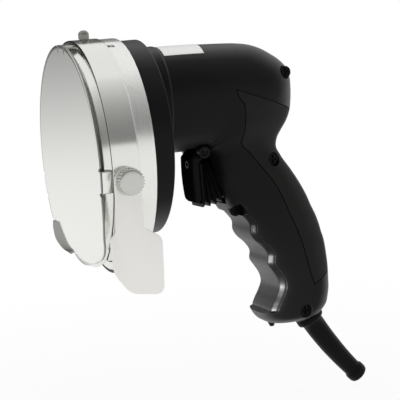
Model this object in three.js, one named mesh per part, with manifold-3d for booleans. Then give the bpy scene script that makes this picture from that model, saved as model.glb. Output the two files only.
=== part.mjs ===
// Electric kebab slicer. A motor in a pistol-grip housing drives a dished round blade through one
// pair of spur gears. A flat guide plate in front of the blade sets the slice thickness: its three
// tabs slide inside a guard ring and are clamped by a thumb knob, which also holds a deflector.
// Frame: the blade axis is X, the guide plate's front face is x = 0, +Z is up, millimetres.
import * as THREE from 'three';
import { mergeVertices } from 'three/addons/utils/BufferGeometryUtils.js';
import Module from 'manifold-3d';

const wasm = await Module();
wasm.setup();

// Clearances
const SEAT = 0.3; // between pieces that sit on each other
const RUN = 0.7; // between a turning piece and what it turns in
const SEAM = 0.3; // parting line between housing shells

// Cutting head
const BLADE_R = 50;
const BLADE_T = 1.6;
const BLADE_EDGE_X = 3.0;
const BLADE_RIM_DEPTH = 4;
const BLADE_BEVEL = 1.4; // how far the cutting edge stands in from the blade's rim
const PLATE_T = 1.2;
const LIP_ANGLE = 4; // degrees that the plate's lower lip leans back
const LIP_Z = -31; // bend line of the lip
const BITE = 4.8; // how far the plate's lower edge stands back from the cutting edge
const TAB_T = 1.0;
const TAB_GAP = 1.0; // between blade and tab
const TAB_TRAVEL = 3; // slice thickness adjustment
const TAB_ANGLES = { near: -8.5, top: 85, far: -164 }; // degrees up from the near side
const TAB_W = 9.5;
const RING_T = 1.2;
const RING_X = 5.4;
const RING_DEPTH = 12;
const PIN_X = 11.2; // clamp stud and guide pins, along the blade axis
const PIN_R = 2;
const PIN_HEAD_R = 2.4;
const PIN_HEAD_H = 4;
const KNOB_R = 5.9;
const KNOB_H = 5.8;
const KNOB_RIBS = 24;
const DEFLECTOR_T = 1.5;

// Gear case and flange
const CASE_DEPTH = 8.2;
const CASE_WALL = 2.4;
const CASE_RISE = 2.6; // centre of the case above the blade axis
const FLANGE_R = 44.5;
const FLANGE_DEPTH = 9.6;
const FLANGE_RISE = 7;
const FLANGE_WALL = 3;
const FLANGE_SCREW_ANGLES = [14, 166, -52, -128];
const GEAR_MODULE = 1;
const PINION_TEETH = 10;
const GEAR_TEETH = 35;
const GEAR_FACE = 4.8;
const BACKLASH = 0.3;
const SPINDLE_R = 6;
const FRONT_BEARING = { bore: 7.8, outer: 16, width: 7 };
const REAR_BEARING = { bore: 5.3, outer: 11, width: 5.6 };
const MOTOR_BEARING = { bore: 4.3, outer: 9.2, width: 5 };

// Motor and housing
const BARREL_R = 24.5;
const BARREL_LEN = 72.4; // from the flange to the rear end of the barrel
const COLLAR_LEN = 7.4;
const COLLAR_RISE = 0.6;
const WALL = 2.4;
const CORE_LEN = 26;
const CORE_R = 13.2;
const SHAFT_R = 4;
const SLOTS = 12;
const FAN_VANES = 9;
const GRIP_LEN = 88.6;
const GRIP_WIDTH = 34;
const GRIP_SHIFT = 0; // moves the grip along the barrel
const SCREW_R = 1.5;
const SCREW_HEAD_R = 2.9;
const BOSS_R = 3.7;
const TRIGGER_W = 17;
const TRIGGER_H = 24;
const BOOT_PLEATS = 4;
const SLEEVE_R = 5.2;
const SLEEVE_TIP_R = 4.2;
const SLEEVE_BORE_R = 3.2;
const SLEEVE_LEN = 42.6;

// Worked out from the above
const TAB_IN = BLADE_R + TAB_GAP;
const TAB_OUT = TAB_IN + TAB_T;
const PLATE_R = TAB_OUT;
const RING_IN = TAB_OUT + SEAT;
const RING_OUT = RING_IN + RING_T;
const CASE_R = BLADE_R + 0.4;
const CASE_NOTCH_ANGLE = 70;
const BLADE_BACK_X = BLADE_EDGE_X + BLADE_RIM_DEPTH + 0.6;
const CASE_X = RING_X + RING_DEPTH + SEAT;
const CASE_END = CASE_X + CASE_DEPTH;
const FLANGE_X = CASE_END + SEAT;
const FLANGE_END = FLANGE_X + FLANGE_DEPTH;
const BARREL_X = FLANGE_END + SEAT;
const BARREL_END = BARREL_X + BARREL_LEN;
const MOTOR_Z = GEAR_MODULE * (PINION_TEETH + GEAR_TEETH) / 2;
const GRIP_TOP = MOTOR_Z - BARREL_R + 2;
const GRIP_X = BARREL_X + 26.5 + GRIP_SHIFT;
const BARREL_IN = BARREL_R - WALL - 1;
const STATOR_R = BARREL_IN - SEAT;
const rad = THREE.MathUtils.degToRad;

const COLOURS = {
  plate: [0xd3d4cf, 0.34, 0.95],
  blade: [0xc4c5c1, 0.22, 1.0],
  casting: [0xb4b5b0, 0.38, 0.9],
  steel: [0x9a9b98, 0.35, 0.9],
  shell: [0x1d1d1d, 0.55, 0.0],
  strap: [0x202421, 0.6, 0.0],
  rubber: [0x161616, 0.8, 0.0],
  trigger: [0x141414, 0.45, 0.0],
  copper: [0xb06a3a, 0.4, 0.9],
  core: [0x55575a, 0.5, 0.7],
  carbon: [0x2a2a2c, 0.7, 0.1],
  brass: [0xb89a4e, 0.35, 0.9],
};

// Solids: closed geometry to a solid with its faces outwards, and a solid back to geometry
const asSolid = (geometry) => {
  const bare = geometry.clone();
  bare.deleteAttribute('normal');
  bare.deleteAttribute('uv');
  const merged = mergeVertices(bare, 1e-4);
  const corners = merged.index.array;
  const build = (turned) => {
    const kept = [];
    for (let i = 0; i < corners.length; i += 3) {
      const [a, b, c] = corners.slice(i, i + 3);
      if (a !== b && b !== c && c !== a) kept.push(...(turned ? [a, c, b] : [a, b, c]));
    }
    return new wasm.Manifold(new wasm.Mesh({
      numProp: 3,
      vertProperties: new Float32Array(merged.attributes.position.array),
      triVerts: new Uint32Array(kept),
    }));
  };
  const solid = build(false);
  return solid.volume() > 0 ? solid : build(true);
};

const asGeometry = (solid) => {
  const made = solid.getMesh();
  const geometry = new THREE.BufferGeometry();
  geometry.setAttribute('position', new THREE.BufferAttribute(new Float32Array(made.vertProperties), 3));
  geometry.setIndex(new THREE.BufferAttribute(new Uint32Array(made.triVerts), 1));
  return geometry;
};

const join = (...solids) => solids.reduce((sum, solid) => sum.add(solid));
const cut = (solid, ...tools) => tools.reduce((left, tool) => left.subtract(tool), solid);

// A profile of [x, r] points turned about the X axis, moved up by rise
const turned = (profile, rise = 0, segments = 64) => {
  const points = profile.map(([x, r]) => new THREE.Vector2(r, x));
  points.push(points[0].clone());
  const geometry = new THREE.LatheGeometry(points, segments);
  return asSolid(geometry.rotateZ(-Math.PI / 2).translate(0, 0, rise));
};

const tube = (x0, x1, inner, outer, rise = 0, segments = 48) =>
  turned([[x0, inner], [x1, inner], [x1, outer], [x0, outer]], rise, segments);

const rod = (x0, x1, radius, rise = 0, segments = 32) => {
  const geometry = new THREE.CylinderGeometry(radius, radius, x1 - x0, segments);
  return asSolid(geometry.rotateZ(-Math.PI / 2).translate((x0 + x1) / 2, 0, rise));
};

const box = (x0, x1, y0, y1, z0, z1) => asSolid(
  new THREE.BoxGeometry(x1 - x0, y1 - y0, z1 - z0)
    .translate((x0 + x1) / 2, (y0 + y1) / 2, (z0 + z1) / 2));

// A pin along Y at [x, z], and a shape drawn in x and z carried along Y
const crossPin = (x, z, y0, y1, radius, segments = 14) => asSolid(
  new THREE.CylinderGeometry(radius, radius, y1 - y0, segments).translate(x, (y0 + y1) / 2, z));

const sideways = (shape, y0, y1, curveSegments = 8) => asSolid(
  new THREE.ExtrudeGeometry(shape, { depth: y1 - y0, bevelEnabled: false, curveSegments })
    .rotateX(Math.PI / 2).translate(0, y1, 0));

// A shape drawn in y and z carried along X
const ONTO_X = new THREE.Matrix4().makeBasis(
  new THREE.Vector3(0, 1, 0), new THREE.Vector3(0, 0, 1), new THREE.Vector3(1, 0, 0));
const endways = (shape, x0, x1, curveSegments = 12) => asSolid(
  new THREE.ExtrudeGeometry(shape, { depth: x1 - x0, bevelEnabled: false, curveSegments })
    .applyMatrix4(ONTO_X).translate(x0, 0, 0));

// Part of a ring between two radii; angles run up from the near side, which is -Y
const sector = (inner, outer, middle, half) => {
  const shape = new THREE.Shape();
  const from = Math.PI - rad(middle + half);
  const to = Math.PI - rad(middle - half);
  shape.absarc(0, 0, outer, from, to, false);
  shape.absarc(0, 0, inner, to, from, true);
  return shape;
};

// A point at a radius and an angle up from the near side
const around = (radius, angle) => [-radius * Math.cos(rad(angle)), radius * Math.sin(rad(angle))];

// A solid drawn along +Y and swung to stand radially at an angle, at a place along X
const stood = (geometry, x, angle) => asSolid(
  geometry.rotateX(Math.PI - rad(angle)).translate(x, 0, 0));

const radialPin = (x, angle, r0, r1, radius, segments = 16) => stood(
  new THREE.CylinderGeometry(radius, radius, r1 - r0, segments).translate(0, (r0 + r1) / 2, 0), x, angle);

const radialBox = (x0, x1, angle, r0, r1, half, aside = 0) => stood(
  new THREE.BoxGeometry(x1 - x0, r1 - r0, 2 * half).translate(0, (r0 + r1) / 2, aside),
  (x0 + x1) / 2, angle);

// A skin over rings of points, closed at both ends
const loft = (rings) => {
  const count = rings[0].length;
  const points = rings.flat();
  const faces = [];
  for (let i = 0; i + 1 < rings.length; i += 1) {
    for (let j = 0; j < count; j += 1) {
      const a = i * count + j;
      const b = i * count + (j + 1) % count;
      faces.push(a, b, a + count, b, b + count, a + count);
    }
  }
  [0, rings.length - 1].forEach((row, end) => {
    const centre = rings[row].reduce((sum, p) => sum.map((v, k) => v + p[k] / count), [0, 0, 0]);
    const hub = points.push(centre) - 1;
    for (let j = 0; j < count; j += 1) {
      const a = row * count + j;
      const b = row * count + (j + 1) % count;
      faces.push(...(end ? [a, b, hub] : [b, a, hub]));
    }
  });
  const geometry = new THREE.BufferGeometry();
  geometry.setAttribute('position', new THREE.Float32BufferAttribute(points.flat(), 3));
  geometry.setIndex(faces);
  return asSolid(geometry);
};

const power = (value, exponent) => Math.sign(value) * Math.abs(value) ** exponent;

// A squared ellipse: [u, v] at an angle, for half sizes a and b
const oval = (angle, a, b, squareness) => [
  a * power(Math.cos(angle), 2 / squareness), b * power(Math.sin(angle), 2 / squareness)];

const ring = (count, at) => Array.from({ length: count }, (_, i) => at(2 * Math.PI * i / count));

const object = new THREE.Group();
const add = (name, solid, finish) => {
  const [color, roughness, metalness] = COLOURS[finish];
  const material = new THREE.MeshStandardMaterial({ color, roughness, metalness });
  const mesh = new THREE.Mesh(asGeometry(solid), material);
  mesh.name = name;
  object.add(mesh);
};

// Guide plate. Its lower edge is cut back along a chord and a shallow curve to bare the cutting edge,
// and runs out to a rounded corner on the near side. Tabs bend back from the rim between relief notches.
const BARE_R = BLADE_R - BITE;
const TAB_END = PIN_X + TAB_TRAVEL + PIN_R + SEAT + 0.9;
const tabHalf = THREE.MathUtils.radToDeg(Math.asin(TAB_W / 2 / TAB_OUT));
const tabAngles = Object.values(TAB_ANGLES);

const plateOutline = () => {
  const nearFoot = TAB_ANGLES.near - tabHalf - 3;
  const chordFar = around(BARE_R - 2.8, -133.5);
  const chordNear = around(BARE_R, -114.5);
  const lowest = around(BARE_R + 6, -81);
  const cornerStart = around(BARE_R + 8.5, -54);
  const corner = around(BARE_R + 16.8, -41.4);
  const cornerEnd = around(BARE_R + 11.9, -34.9);
  const shape = new THREE.Shape();
  shape.absarc(0, 0, PLATE_R, Math.PI - rad(nearFoot), -rad(35), true);
  shape.lineTo(...chordFar);
  shape.lineTo(...chordNear);
  shape.quadraticCurveTo(...lowest, ...cornerStart);
  shape.quadraticCurveTo(...corner, ...cornerEnd);
  shape.closePath();
  return shape;
};

const guidePlate = () => {
  const wide = 2 * PLATE_R;
  const sheet = endways(plateOutline(), 0, PLATE_T, 18);
  const upper = sheet.intersect(box(-1, wide, -wide, wide, LIP_Z, wide));
  const lower = sheet.intersect(box(-1, wide, -wide, wide, -wide, LIP_Z + 0.02));
  const lip = asSolid(asGeometry(lower)
    .translate(0, 0, -LIP_Z).rotateY(-rad(LIP_ANGLE)).translate(0, 0, LIP_Z));
  let plate = join(upper, lip);
  for (const angle of tabAngles) {
    const tab = endways(sector(TAB_IN, TAB_OUT, angle, tabHalf), PLATE_T / 2, TAB_END, 3);
    const slot = radialBox(PIN_X - PIN_R - SEAT, PIN_X + TAB_TRAVEL + PIN_R + SEAT, angle,
      TAB_IN - 2, TAB_OUT + 1, PIN_R + SEAT);
    plate = plate.add(tab.subtract(slot));
    for (const side of [-1, 1]) {
      const aside = side * (TAB_W / 2 + 0.7);
      plate = plate.subtract(radialBox(-1, PLATE_T + 1, angle, PLATE_R - 2, PLATE_R + 2, 0.7, aside));
    }
  }
  return plate;
};
add('guide_plate', guidePlate(), 'plate');

// Blade: a dished disc with a ground bevel that runs in to its edge at the front, on the spindle's collar
const BLADE_HUB_R = SPINDLE_R + 0.1;
const BLADE_FRONT_X = BLADE_BACK_X - BLADE_T;
add('blade', turned([
  [BLADE_FRONT_X, BLADE_HUB_R], [BLADE_FRONT_X, BLADE_R - 9], [BLADE_EDGE_X, BLADE_R - BLADE_BEVEL],
  [BLADE_EDGE_X + BLADE_RIM_DEPTH - 0.4, BLADE_R], [BLADE_BACK_X, BLADE_R - 0.6], [BLADE_BACK_X, BLADE_HUB_R],
], 0, 52), 'blade');

const SPINDLE_FRONT = PLATE_T + 1.3;
const COLLAR_X = BLADE_BACK_X + SEAT;
const FRONT_BEARING_X = COLLAR_X + 3.6;
const CASE_INNER_X = CASE_X + CASE_WALL;
const GEAR_X = CASE_INNER_X + RUN;
const REAR_BEARING_X = FLANGE_X + 1.4;
const SPINDLE_END = REAR_BEARING_X + REAR_BEARING.width;
const GEAR_BORE = FRONT_BEARING.bore - 0.8;
const hexNut = cut(rod(SPINDLE_FRONT + 0.3, BLADE_FRONT_X - SEAT, SPINDLE_R + 3.6, 0, 6),
  rod(0, BLADE_FRONT_X, BLADE_HUB_R, 0, 32));
add('blade_nut', hexNut, 'steel');
add('spindle', turned([
  [SPINDLE_FRONT, 0], [SPINDLE_FRONT, SPINDLE_R - 0.2], [COLLAR_X, SPINDLE_R - 0.2], [COLLAR_X, 10],
  [COLLAR_X + 3, 10], [COLLAR_X + 3, FRONT_BEARING.bore - SEAT], [GEAR_X - 0.4, FRONT_BEARING.bore - SEAT],
  [GEAR_X - 0.4, GEAR_BORE - SEAT], [GEAR_X + GEAR_FACE, GEAR_BORE - SEAT],
  [GEAR_X + GEAR_FACE, REAR_BEARING.bore - SEAT], [SPINDLE_END, REAR_BEARING.bore - SEAT], [SPINDLE_END, 0],
], 0, 16), 'steel');

const bearing = ({ bore, outer, width }, x, rise) => {
  const dip = 0.5;
  const third = (outer - bore) / 3;
  return turned([
    [x, bore], [x + width, bore], [x + width, outer], [x, outer],
    [x, outer - third], [x + dip, outer - third], [x + dip, bore + third], [x, bore + third],
  ], rise, 16);
};
add('spindle_front_bearing', bearing(FRONT_BEARING, FRONT_BEARING_X, 0), 'steel');
add('spindle_rear_bearing', bearing(REAR_BEARING, REAR_BEARING_X, 0), 'steel');

// Spur gears: involute flanks, with a tooth of the gear in a gap of the pinion on the line of centres
const PRESSURE = rad(20);
const involute = (angle) => Math.tan(angle) - angle;
const gearOutline = (teeth, firstTooth, rise) => {
  const pitchR = GEAR_MODULE * teeth / 2;
  const baseR = pitchR * Math.cos(PRESSURE);
  const rootR = pitchR - 1.25 * GEAR_MODULE;
  const tipR = pitchR + 0.8 * GEAR_MODULE;
  const halfAtPitch = (Math.PI * GEAR_MODULE / 2 - BACKLASH) / 2 / pitchR;
  const halfAt = (radius) => {
    const slope = Math.acos(Math.min(1, baseR / Math.max(radius, baseR)));
    return halfAtPitch + involute(PRESSURE) - involute(slope);
  };
  const flank = [rootR, pitchR, tipR];
  const points = [];
  for (let tooth = 0; tooth < teeth; tooth += 1) {
    const middle = firstTooth + 2 * Math.PI * tooth / teeth;
    for (const radius of flank) points.push([radius, middle - halfAt(radius)]);
    for (const radius of [...flank].reverse()) points.push([radius, middle + halfAt(radius)]);
  }
  return new THREE.Shape(points.map(([r, a]) =>
    new THREE.Vector2(r * Math.cos(a), rise + r * Math.sin(a))));
};
const gear = endways(gearOutline(GEAR_TEETH, Math.PI / 2, 0), GEAR_X, GEAR_X + GEAR_FACE);
add('driven_gear', cut(gear, rod(GEAR_X - 1, GEAR_X + GEAR_FACE + 1, GEAR_BORE, 0, 24)), 'steel');

// Guard ring over the gear case's spigot, with holes for the clamp stud and two guide pins
const KNOB_Z = (TAB_IN + TAB_T / 2) * Math.sin(rad(TAB_ANGLES.near));
const RING_END = RING_X + RING_DEPTH;
const guidePinAngles = { top: TAB_ANGLES.top, far: TAB_ANGLES.far };
const RING_STRIP = 2.6; // what is left of the ring's depth below, where the blade stands bare
const ringGap = endways(sector(RING_IN - 2, RING_OUT + 2, -92, 37), RING_X - 1, RING_END - RING_STRIP);
let guardRing = tube(RING_X, RING_END, RING_IN, RING_OUT, 0, 52);
for (const angle of Object.values(guidePinAngles)) {
  guardRing = guardRing.subtract(radialPin(PIN_X, angle, RING_IN - 2, RING_OUT + 2, PIN_R - 0.2 + SEAT));
}
guardRing = cut(guardRing,
  crossPin(PIN_X, KNOB_Z, -RING_OUT - 2, -RING_IN + 4, PIN_R + SEAT),
  ringGap);
add('guard_ring', guardRing, 'plate');

for (const [place, angle] of Object.entries(guidePinAngles)) {
  const base = RING_OUT + SEAT;
  const top = base + PIN_HEAD_H;
  const profile = [[0, TAB_IN - 0.6], [PIN_R - 0.2, TAB_IN - 0.6], [PIN_R - 0.2, base], [PIN_HEAD_R, base],
    [PIN_HEAD_R, top - 1.9], [PIN_HEAD_R * 0.8, top - 0.7], [PIN_HEAD_R * 0.4, top - 0.12], [0, top]];
  const geometry = new THREE.LatheGeometry(profile.map(([r, y]) => new THREE.Vector2(r, y)), 16);
  add(`guide_pin_${place}`, stood(geometry, PIN_X, angle), 'steel');
}

// Thumb knob with its stud, the deflector that it holds, and the nut behind the near tab
const DEFLECTOR_Y = -(RING_OUT + SEAT);
const KNOB_Y = DEFLECTOR_Y - DEFLECTOR_T - SEAT;
const NUT_Y = -Math.sqrt(TAB_IN ** 2 - (KNOB_Z - 3) ** 2) + SEAT;
const NUT_T = 3;
const knurled = new THREE.Shape(ring(KNOB_RIBS * 2, (a) => {
  const r = KNOB_R - 0.18 + 0.18 * Math.cos(KNOB_RIBS * a);
  return new THREE.Vector2(PIN_X + r * Math.cos(a), KNOB_Z + r * Math.sin(a));
}));
const knobRound = asSolid(new THREE.LatheGeometry([
  [0, 0], [KNOB_R - 0.5, 0], [KNOB_R, 0.5], [KNOB_R, KNOB_H - 0.7], [KNOB_R - 0.7, KNOB_H], [0, KNOB_H],
].map(([r, y]) => new THREE.Vector2(r, y)), 24).rotateX(Math.PI).translate(PIN_X, KNOB_Y, KNOB_Z));
const knob = sideways(knurled, KNOB_Y - KNOB_H - 1, KNOB_Y + 1).intersect(knobRound);
add('clamp_knob', join(knob, crossPin(PIN_X, KNOB_Z, KNOB_Y - 1, NUT_Y + NUT_T, PIN_R, 16)), 'steel');
add('clamp_nut', cut(box(PIN_X - 3, PIN_X + 3, NUT_Y, NUT_Y + NUT_T, KNOB_Z - 3, KNOB_Z + 3),
  crossPin(PIN_X, KNOB_Z, NUT_Y - 1, NUT_Y + NUT_T + 1, PIN_R + SEAT, 16)), 'steel');

const deflectorOutline = () => {
  const at = (dx, dz) => [PIN_X + dx, KNOB_Z + dz];
  const shape = new THREE.Shape();
  shape.absarc(PIN_X, KNOB_Z, KNOB_R + 0.1, 0, Math.PI, false);
  shape.lineTo(...at(-7.6, -19.4));
  shape.quadraticCurveTo(...at(-8, -22), ...at(-10, -23.2));
  shape.quadraticCurveTo(...at(-10.6, -25), ...at(-9.8, -36.5));
  shape.quadraticCurveTo(...at(-9.6, -39), ...at(-7.9, -41.4));
  shape.lineTo(...at(-4.9, -45.6));
  shape.quadraticCurveTo(...at(-2.6, -48.4), ...at(0.6, -48.6));
  shape.lineTo(...at(7.6, -49.6));
  shape.quadraticCurveTo(...at(11.6, -50), ...at(11.9, -45.8));
  shape.lineTo(...at(12.8, -27.6));
  shape.quadraticCurveTo(...at(12.6, -25.4), ...at(11, -24.3));
  shape.lineTo(...at(4.9, -20.2));
  shape.closePath();
  const hole = new THREE.Path();
  hole.absarc(PIN_X, KNOB_Z, PIN_R + SEAT, 0, 2 * Math.PI, true);
  shape.holes.push(hole);
  return shape;
};
add('deflector', sideways(deflectorOutline(), DEFLECTOR_Y - DEFLECTOR_T, DEFLECTOR_Y, 6), 'plate');

// Gear case: a round casting with the front bearing's boss, the ring's spigot and pockets for the tabs
const CAVITY_R = FLANGE_R - 11.5;
const FLANGE_SCREW_R = FLANGE_R - 6.5;
const spot = (angle) => [
  FLANGE_SCREW_R * Math.cos(rad(angle)), FLANGE_RISE + FLANGE_SCREW_R * Math.sin(rad(angle))];
const bolt = (x0, x1, radius, [y, z], segments = 12) => asSolid(
  new THREE.CylinderGeometry(radius, radius, x1 - x0, segments)
    .rotateZ(-Math.PI / 2).translate((x0 + x1) / 2, y, z));
const SCREW_TIP_X = CASE_INNER_X + 1.5;

const gearCase = () => {
  const bossR = FRONT_BEARING.outer + SEAT;
  const spigotR = RING_IN - SEAT;
  let body = join(rod(CASE_X, CASE_END, CASE_R, CASE_RISE, 48),
    rod(FRONT_BEARING_X - 0.3, CASE_INNER_X, bossR + 3.5, 0, 24),
    tube(CASE_X - 3.4, CASE_X + 0.5, spigotR - 3.5, spigotR, 0, 48));
  body = cut(body, rod(CASE_INNER_X, CASE_END + 1, CAVITY_R, FLANGE_RISE, 24),
    rod(0, FRONT_BEARING_X + FRONT_BEARING.width + SEAT, bossR, 0, 24),
    rod(0, CASE_END, FRONT_BEARING.outer - 3, 0, 16));
  for (const angle of tabAngles) {
    const pocket = sector(TAB_IN - SEAT, TAB_OUT + 8, angle, tabHalf + 0.5);
    const spigotGap = sector(spigotR - 5, TAB_OUT + 8, angle, tabHalf + 0.5);
    body = cut(body, endways(pocket, CASE_X - 5, TAB_END + SEAT, 3),
      endways(spigotGap, CASE_X - 5, CASE_X, 3));
  }
  for (const angle of FLANGE_SCREW_ANGLES) {
    body = body.subtract(bolt(SCREW_TIP_X - SEAT, CASE_END + 1, SCREW_R + SEAT, spot(angle)));
  }
  return body.subtract(radialBox(CASE_X - 1, CASE_X + 3.4, CASE_NOTCH_ANGLE, CASE_R - 1, CASE_R + 5, 1.7));
};
add('gear_case', gearCase(), 'casting');

// Flange: the black cover that closes the gear case and carries both rear bearings and the motor
const MOTOR_BEARING_X = FLANGE_X + 2;
const BARREL_MOUTH_R = BARREL_R + COLLAR_RISE - WALL;
const HEAD_T = 2.4;
const flange = () => {
  const rim = FLANGE_R;
  const end = FLANGE_END;
  let body = join(
    turned([[FLANGE_X, 0], [FLANGE_X, rim], [end - 1.2, rim], [end - 0.35, rim - 0.35], [end, rim - 1.2],
      [end, 0]], FLANGE_RISE, 44),
    tube(end - 1, end + 2.6, BARREL_MOUTH_R - 3.4, BARREL_MOUTH_R - 0.6, MOTOR_Z, 24));
  const bosses = join(rod(FLANGE_X, end, REAR_BEARING.outer + SEAT + 2.2, 0, 16),
    rod(FLANGE_X, end, MOTOR_BEARING.outer + SEAT + 2.2, MOTOR_Z, 16));
  const hollow = rod(FLANGE_X - 1, end - FLANGE_WALL, CAVITY_R, FLANGE_RISE, 24).subtract(bosses);
  body = cut(body, hollow,
    rod(FLANGE_X - 1, SPINDLE_END + SEAT, REAR_BEARING.outer + SEAT, 0, 16),
    rod(FLANGE_X - 1, MOTOR_BEARING_X + MOTOR_BEARING.width + SEAT, MOTOR_BEARING.outer + SEAT, MOTOR_Z, 16),
    rod(FLANGE_X, end + 4, SHAFT_R + 2.4, MOTOR_Z, 12));
  for (const angle of FLANGE_SCREW_ANGLES) {
    body = cut(body, bolt(FLANGE_X - 1, end, SCREW_R + SEAT, spot(angle)),
      bolt(end - HEAD_T - 0.6, end + 1, SCREW_HEAD_R + SEAT, spot(angle)));
  }
  return body;
};
add('flange', flange(), 'shell');
FLANGE_SCREW_ANGLES.forEach((angle, i) => {
  const headX = FLANGE_END - HEAD_T - 0.3;
  const screw = join(bolt(headX, headX + HEAD_T, SCREW_HEAD_R, spot(angle), 16),
    bolt(SCREW_TIP_X, headX + 0.5, SCREW_R, spot(angle), 12));
  add(`flange_screw_${i + 1}`, screw, 'steel');
});

// Motor: everything that turns sits on one shaft, inside a slotted stator with two saddle coils
const CORE_X = BARREL_X + 12.5;
const CORE_END = CORE_X + CORE_LEN;
const FAN_X = BARREL_X + 0.8;
const COMMUTATOR_X = CORE_END + 6;
const COMMUTATOR_LEN = 10;
const COMMUTATOR_R = 8;
const BRUSH_X = COMMUTATOR_X + 6;
const REAR_MOTOR_X = COMMUTATOR_X + COMMUTATOR_LEN + 2.4;
const SHAFT_END = REAR_MOTOR_X + MOTOR_BEARING.width;
const PINION_BORE = 2.6;
const PINION_END = GEAR_X + GEAR_FACE + 0.3;
const HUB_BORE = SHAFT_R + SEAT;
const raised = (solid) => asSolid(asGeometry(solid).translate(0, 0, MOTOR_Z));
const slotAngles = Array.from({ length: SLOTS }, (_, i) => 360 * i / SLOTS);

const pinion = endways(gearOutline(PINION_TEETH, -Math.PI / 2 + Math.PI / PINION_TEETH, MOTOR_Z),
  GEAR_X, PINION_END);
add('pinion', cut(pinion, rod(GEAR_X - 1, PINION_END + 1, PINION_BORE, MOTOR_Z, 16)), 'steel');
add('armature_shaft', turned([
  [GEAR_X + 0.2, 0], [GEAR_X + 0.2, PINION_BORE - SEAT], [PINION_END + SEAT, PINION_BORE - SEAT],
  [PINION_END + SEAT, SHAFT_R], [SHAFT_END, SHAFT_R], [SHAFT_END, 0],
], MOTOR_Z, 20), 'steel');

const armatureCore = () => {
  let core = tube(CORE_X, CORE_END, HUB_BORE, CORE_R, 0, 2 * SLOTS);
  for (const angle of slotAngles) {
    core = core.subtract(radialBox(CORE_X - 1, CORE_END + 1, angle, CORE_R * 0.54, CORE_R + 2, 1));
  }
  return raised(core);
};
add('armature_core', armatureCore(), 'core');

const armatureWinding = () => {
  let wire = join(tube(CORE_X - 5, CORE_X - 0.4, HUB_BORE + 0.3, CORE_R - 1.2, 0, SLOTS),
    tube(CORE_END + 0.4, CORE_END + 5, HUB_BORE + 0.3, CORE_R - 1.2, 0, SLOTS));
  for (const angle of slotAngles) {
    wire = wire.add(radialBox(CORE_X - 1, CORE_END + 1, angle, CORE_R * 0.54 + SEAT, CORE_R - 1.6, 0.7));
  }
  return raised(wire);
};
add('armature_winding', armatureWinding(), 'copper');

const commutator = () => {
  const end = COMMUTATOR_X + COMMUTATOR_LEN;
  let segments = turned([[COMMUTATOR_X, HUB_BORE], [end, HUB_BORE], [end, COMMUTATOR_R],
    [COMMUTATOR_X + 2, COMMUTATOR_R], [COMMUTATOR_X + 2, COMMUTATOR_R + 1.2],
    [COMMUTATOR_X, COMMUTATOR_R + 1.2]], 0, 24);
  for (const angle of slotAngles) {
    segments = segments.subtract(radialBox(COMMUTATOR_X - 1, end + 1, angle + 15, COMMUTATOR_R - 0.6,
      COMMUTATOR_R + 2, 0.25));
  }
  return raised(segments);
};
add('commutator', commutator(), 'copper');

const fan = () => {
  const rim = BARREL_MOUTH_R - 5.2;
  let wheel = join(tube(FAN_X, FAN_X + 4.6, HUB_BORE, HUB_BORE + 3, 0, 12),
    tube(FAN_X + 3.4, FAN_X + 4.6, HUB_BORE + 1, rim, 0, 18));
  for (let i = 0; i < FAN_VANES; i += 1) {
    wheel = wheel.add(radialBox(FAN_X, FAN_X + 4, 360 * i / FAN_VANES, HUB_BORE + 1, rim - 0.3, 0.6));
  }
  return raised(wheel);
};
add('fan', fan(), 'shell');
add('armature_front_bearing', bearing(MOTOR_BEARING, MOTOR_BEARING_X, MOTOR_Z), 'steel');
add('armature_rear_bearing', bearing(MOTOR_BEARING, REAR_MOTOR_X, MOTOR_Z), 'steel');

const COIL_IN = CORE_R + 2;
const COIL_OUT = STATOR_R - 1.9;
const POLE_HALF = 33; // degrees
const poles = { left: 0, right: 180 };
const stator = () => {
  const x0 = CORE_X - 1;
  const x1 = CORE_END + 1;
  let stack = tube(x0, x1, CORE_R + RUN, STATOR_R, 0, 28);
  for (const middle of Object.values(poles)) {
    const room = endways(sector(COIL_IN - SEAT, COIL_OUT + SEAT, middle, 57), x0 - 1, x1 + 1, 6);
    const pole = endways(sector(COIL_IN - 2, COIL_OUT + 2, middle, POLE_HALF), x0 - 1, x1 + 1, 4);
    const mouth = endways(sector(CORE_R, COIL_IN, middle + 90, 14), x0 - 1, x1 + 1, 4);
    stack = cut(stack, room.subtract(pole), mouth);
  }
  return raised(stack);
};
add('stator', stator(), 'core');
for (const [side, middle] of Object.entries(poles)) {
  const whole = endways(sector(COIL_IN, COIL_OUT, middle, 55), CORE_X - 6, CORE_END + 6, 8);
  const opening = sector(COIL_IN - 2, COIL_OUT + 2, middle, POLE_HALF + 2);
  const window = endways(opening, CORE_X - 1.8, CORE_END + 1.8, 5);
  add(`field_coil_${side}`, raised(whole.subtract(window)), 'copper');
  const to = side === 'left' ? -1 : 1;
  const span = (inner, outer, halfX, halfZ) => box(BRUSH_X - halfX, BRUSH_X + halfX,
    Math.min(to * inner, to * outer), Math.max(to * inner, to * outer), MOTOR_Z - halfZ, MOTOR_Z + halfZ);
  const outer = BARREL_R - WALL - 2.2;
  add(`brush_holder_${side}`, cut(span(COMMUTATOR_R + 1.5, outer, 3.5, 4.5), span(0, 40, 2.2, 3.2)), 'brass');
  add(`carbon_brush_${side}`, span(COMMUTATOR_R + 0.5, outer - 4, 1.9, 2.9), 'carbon');
}

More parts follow.
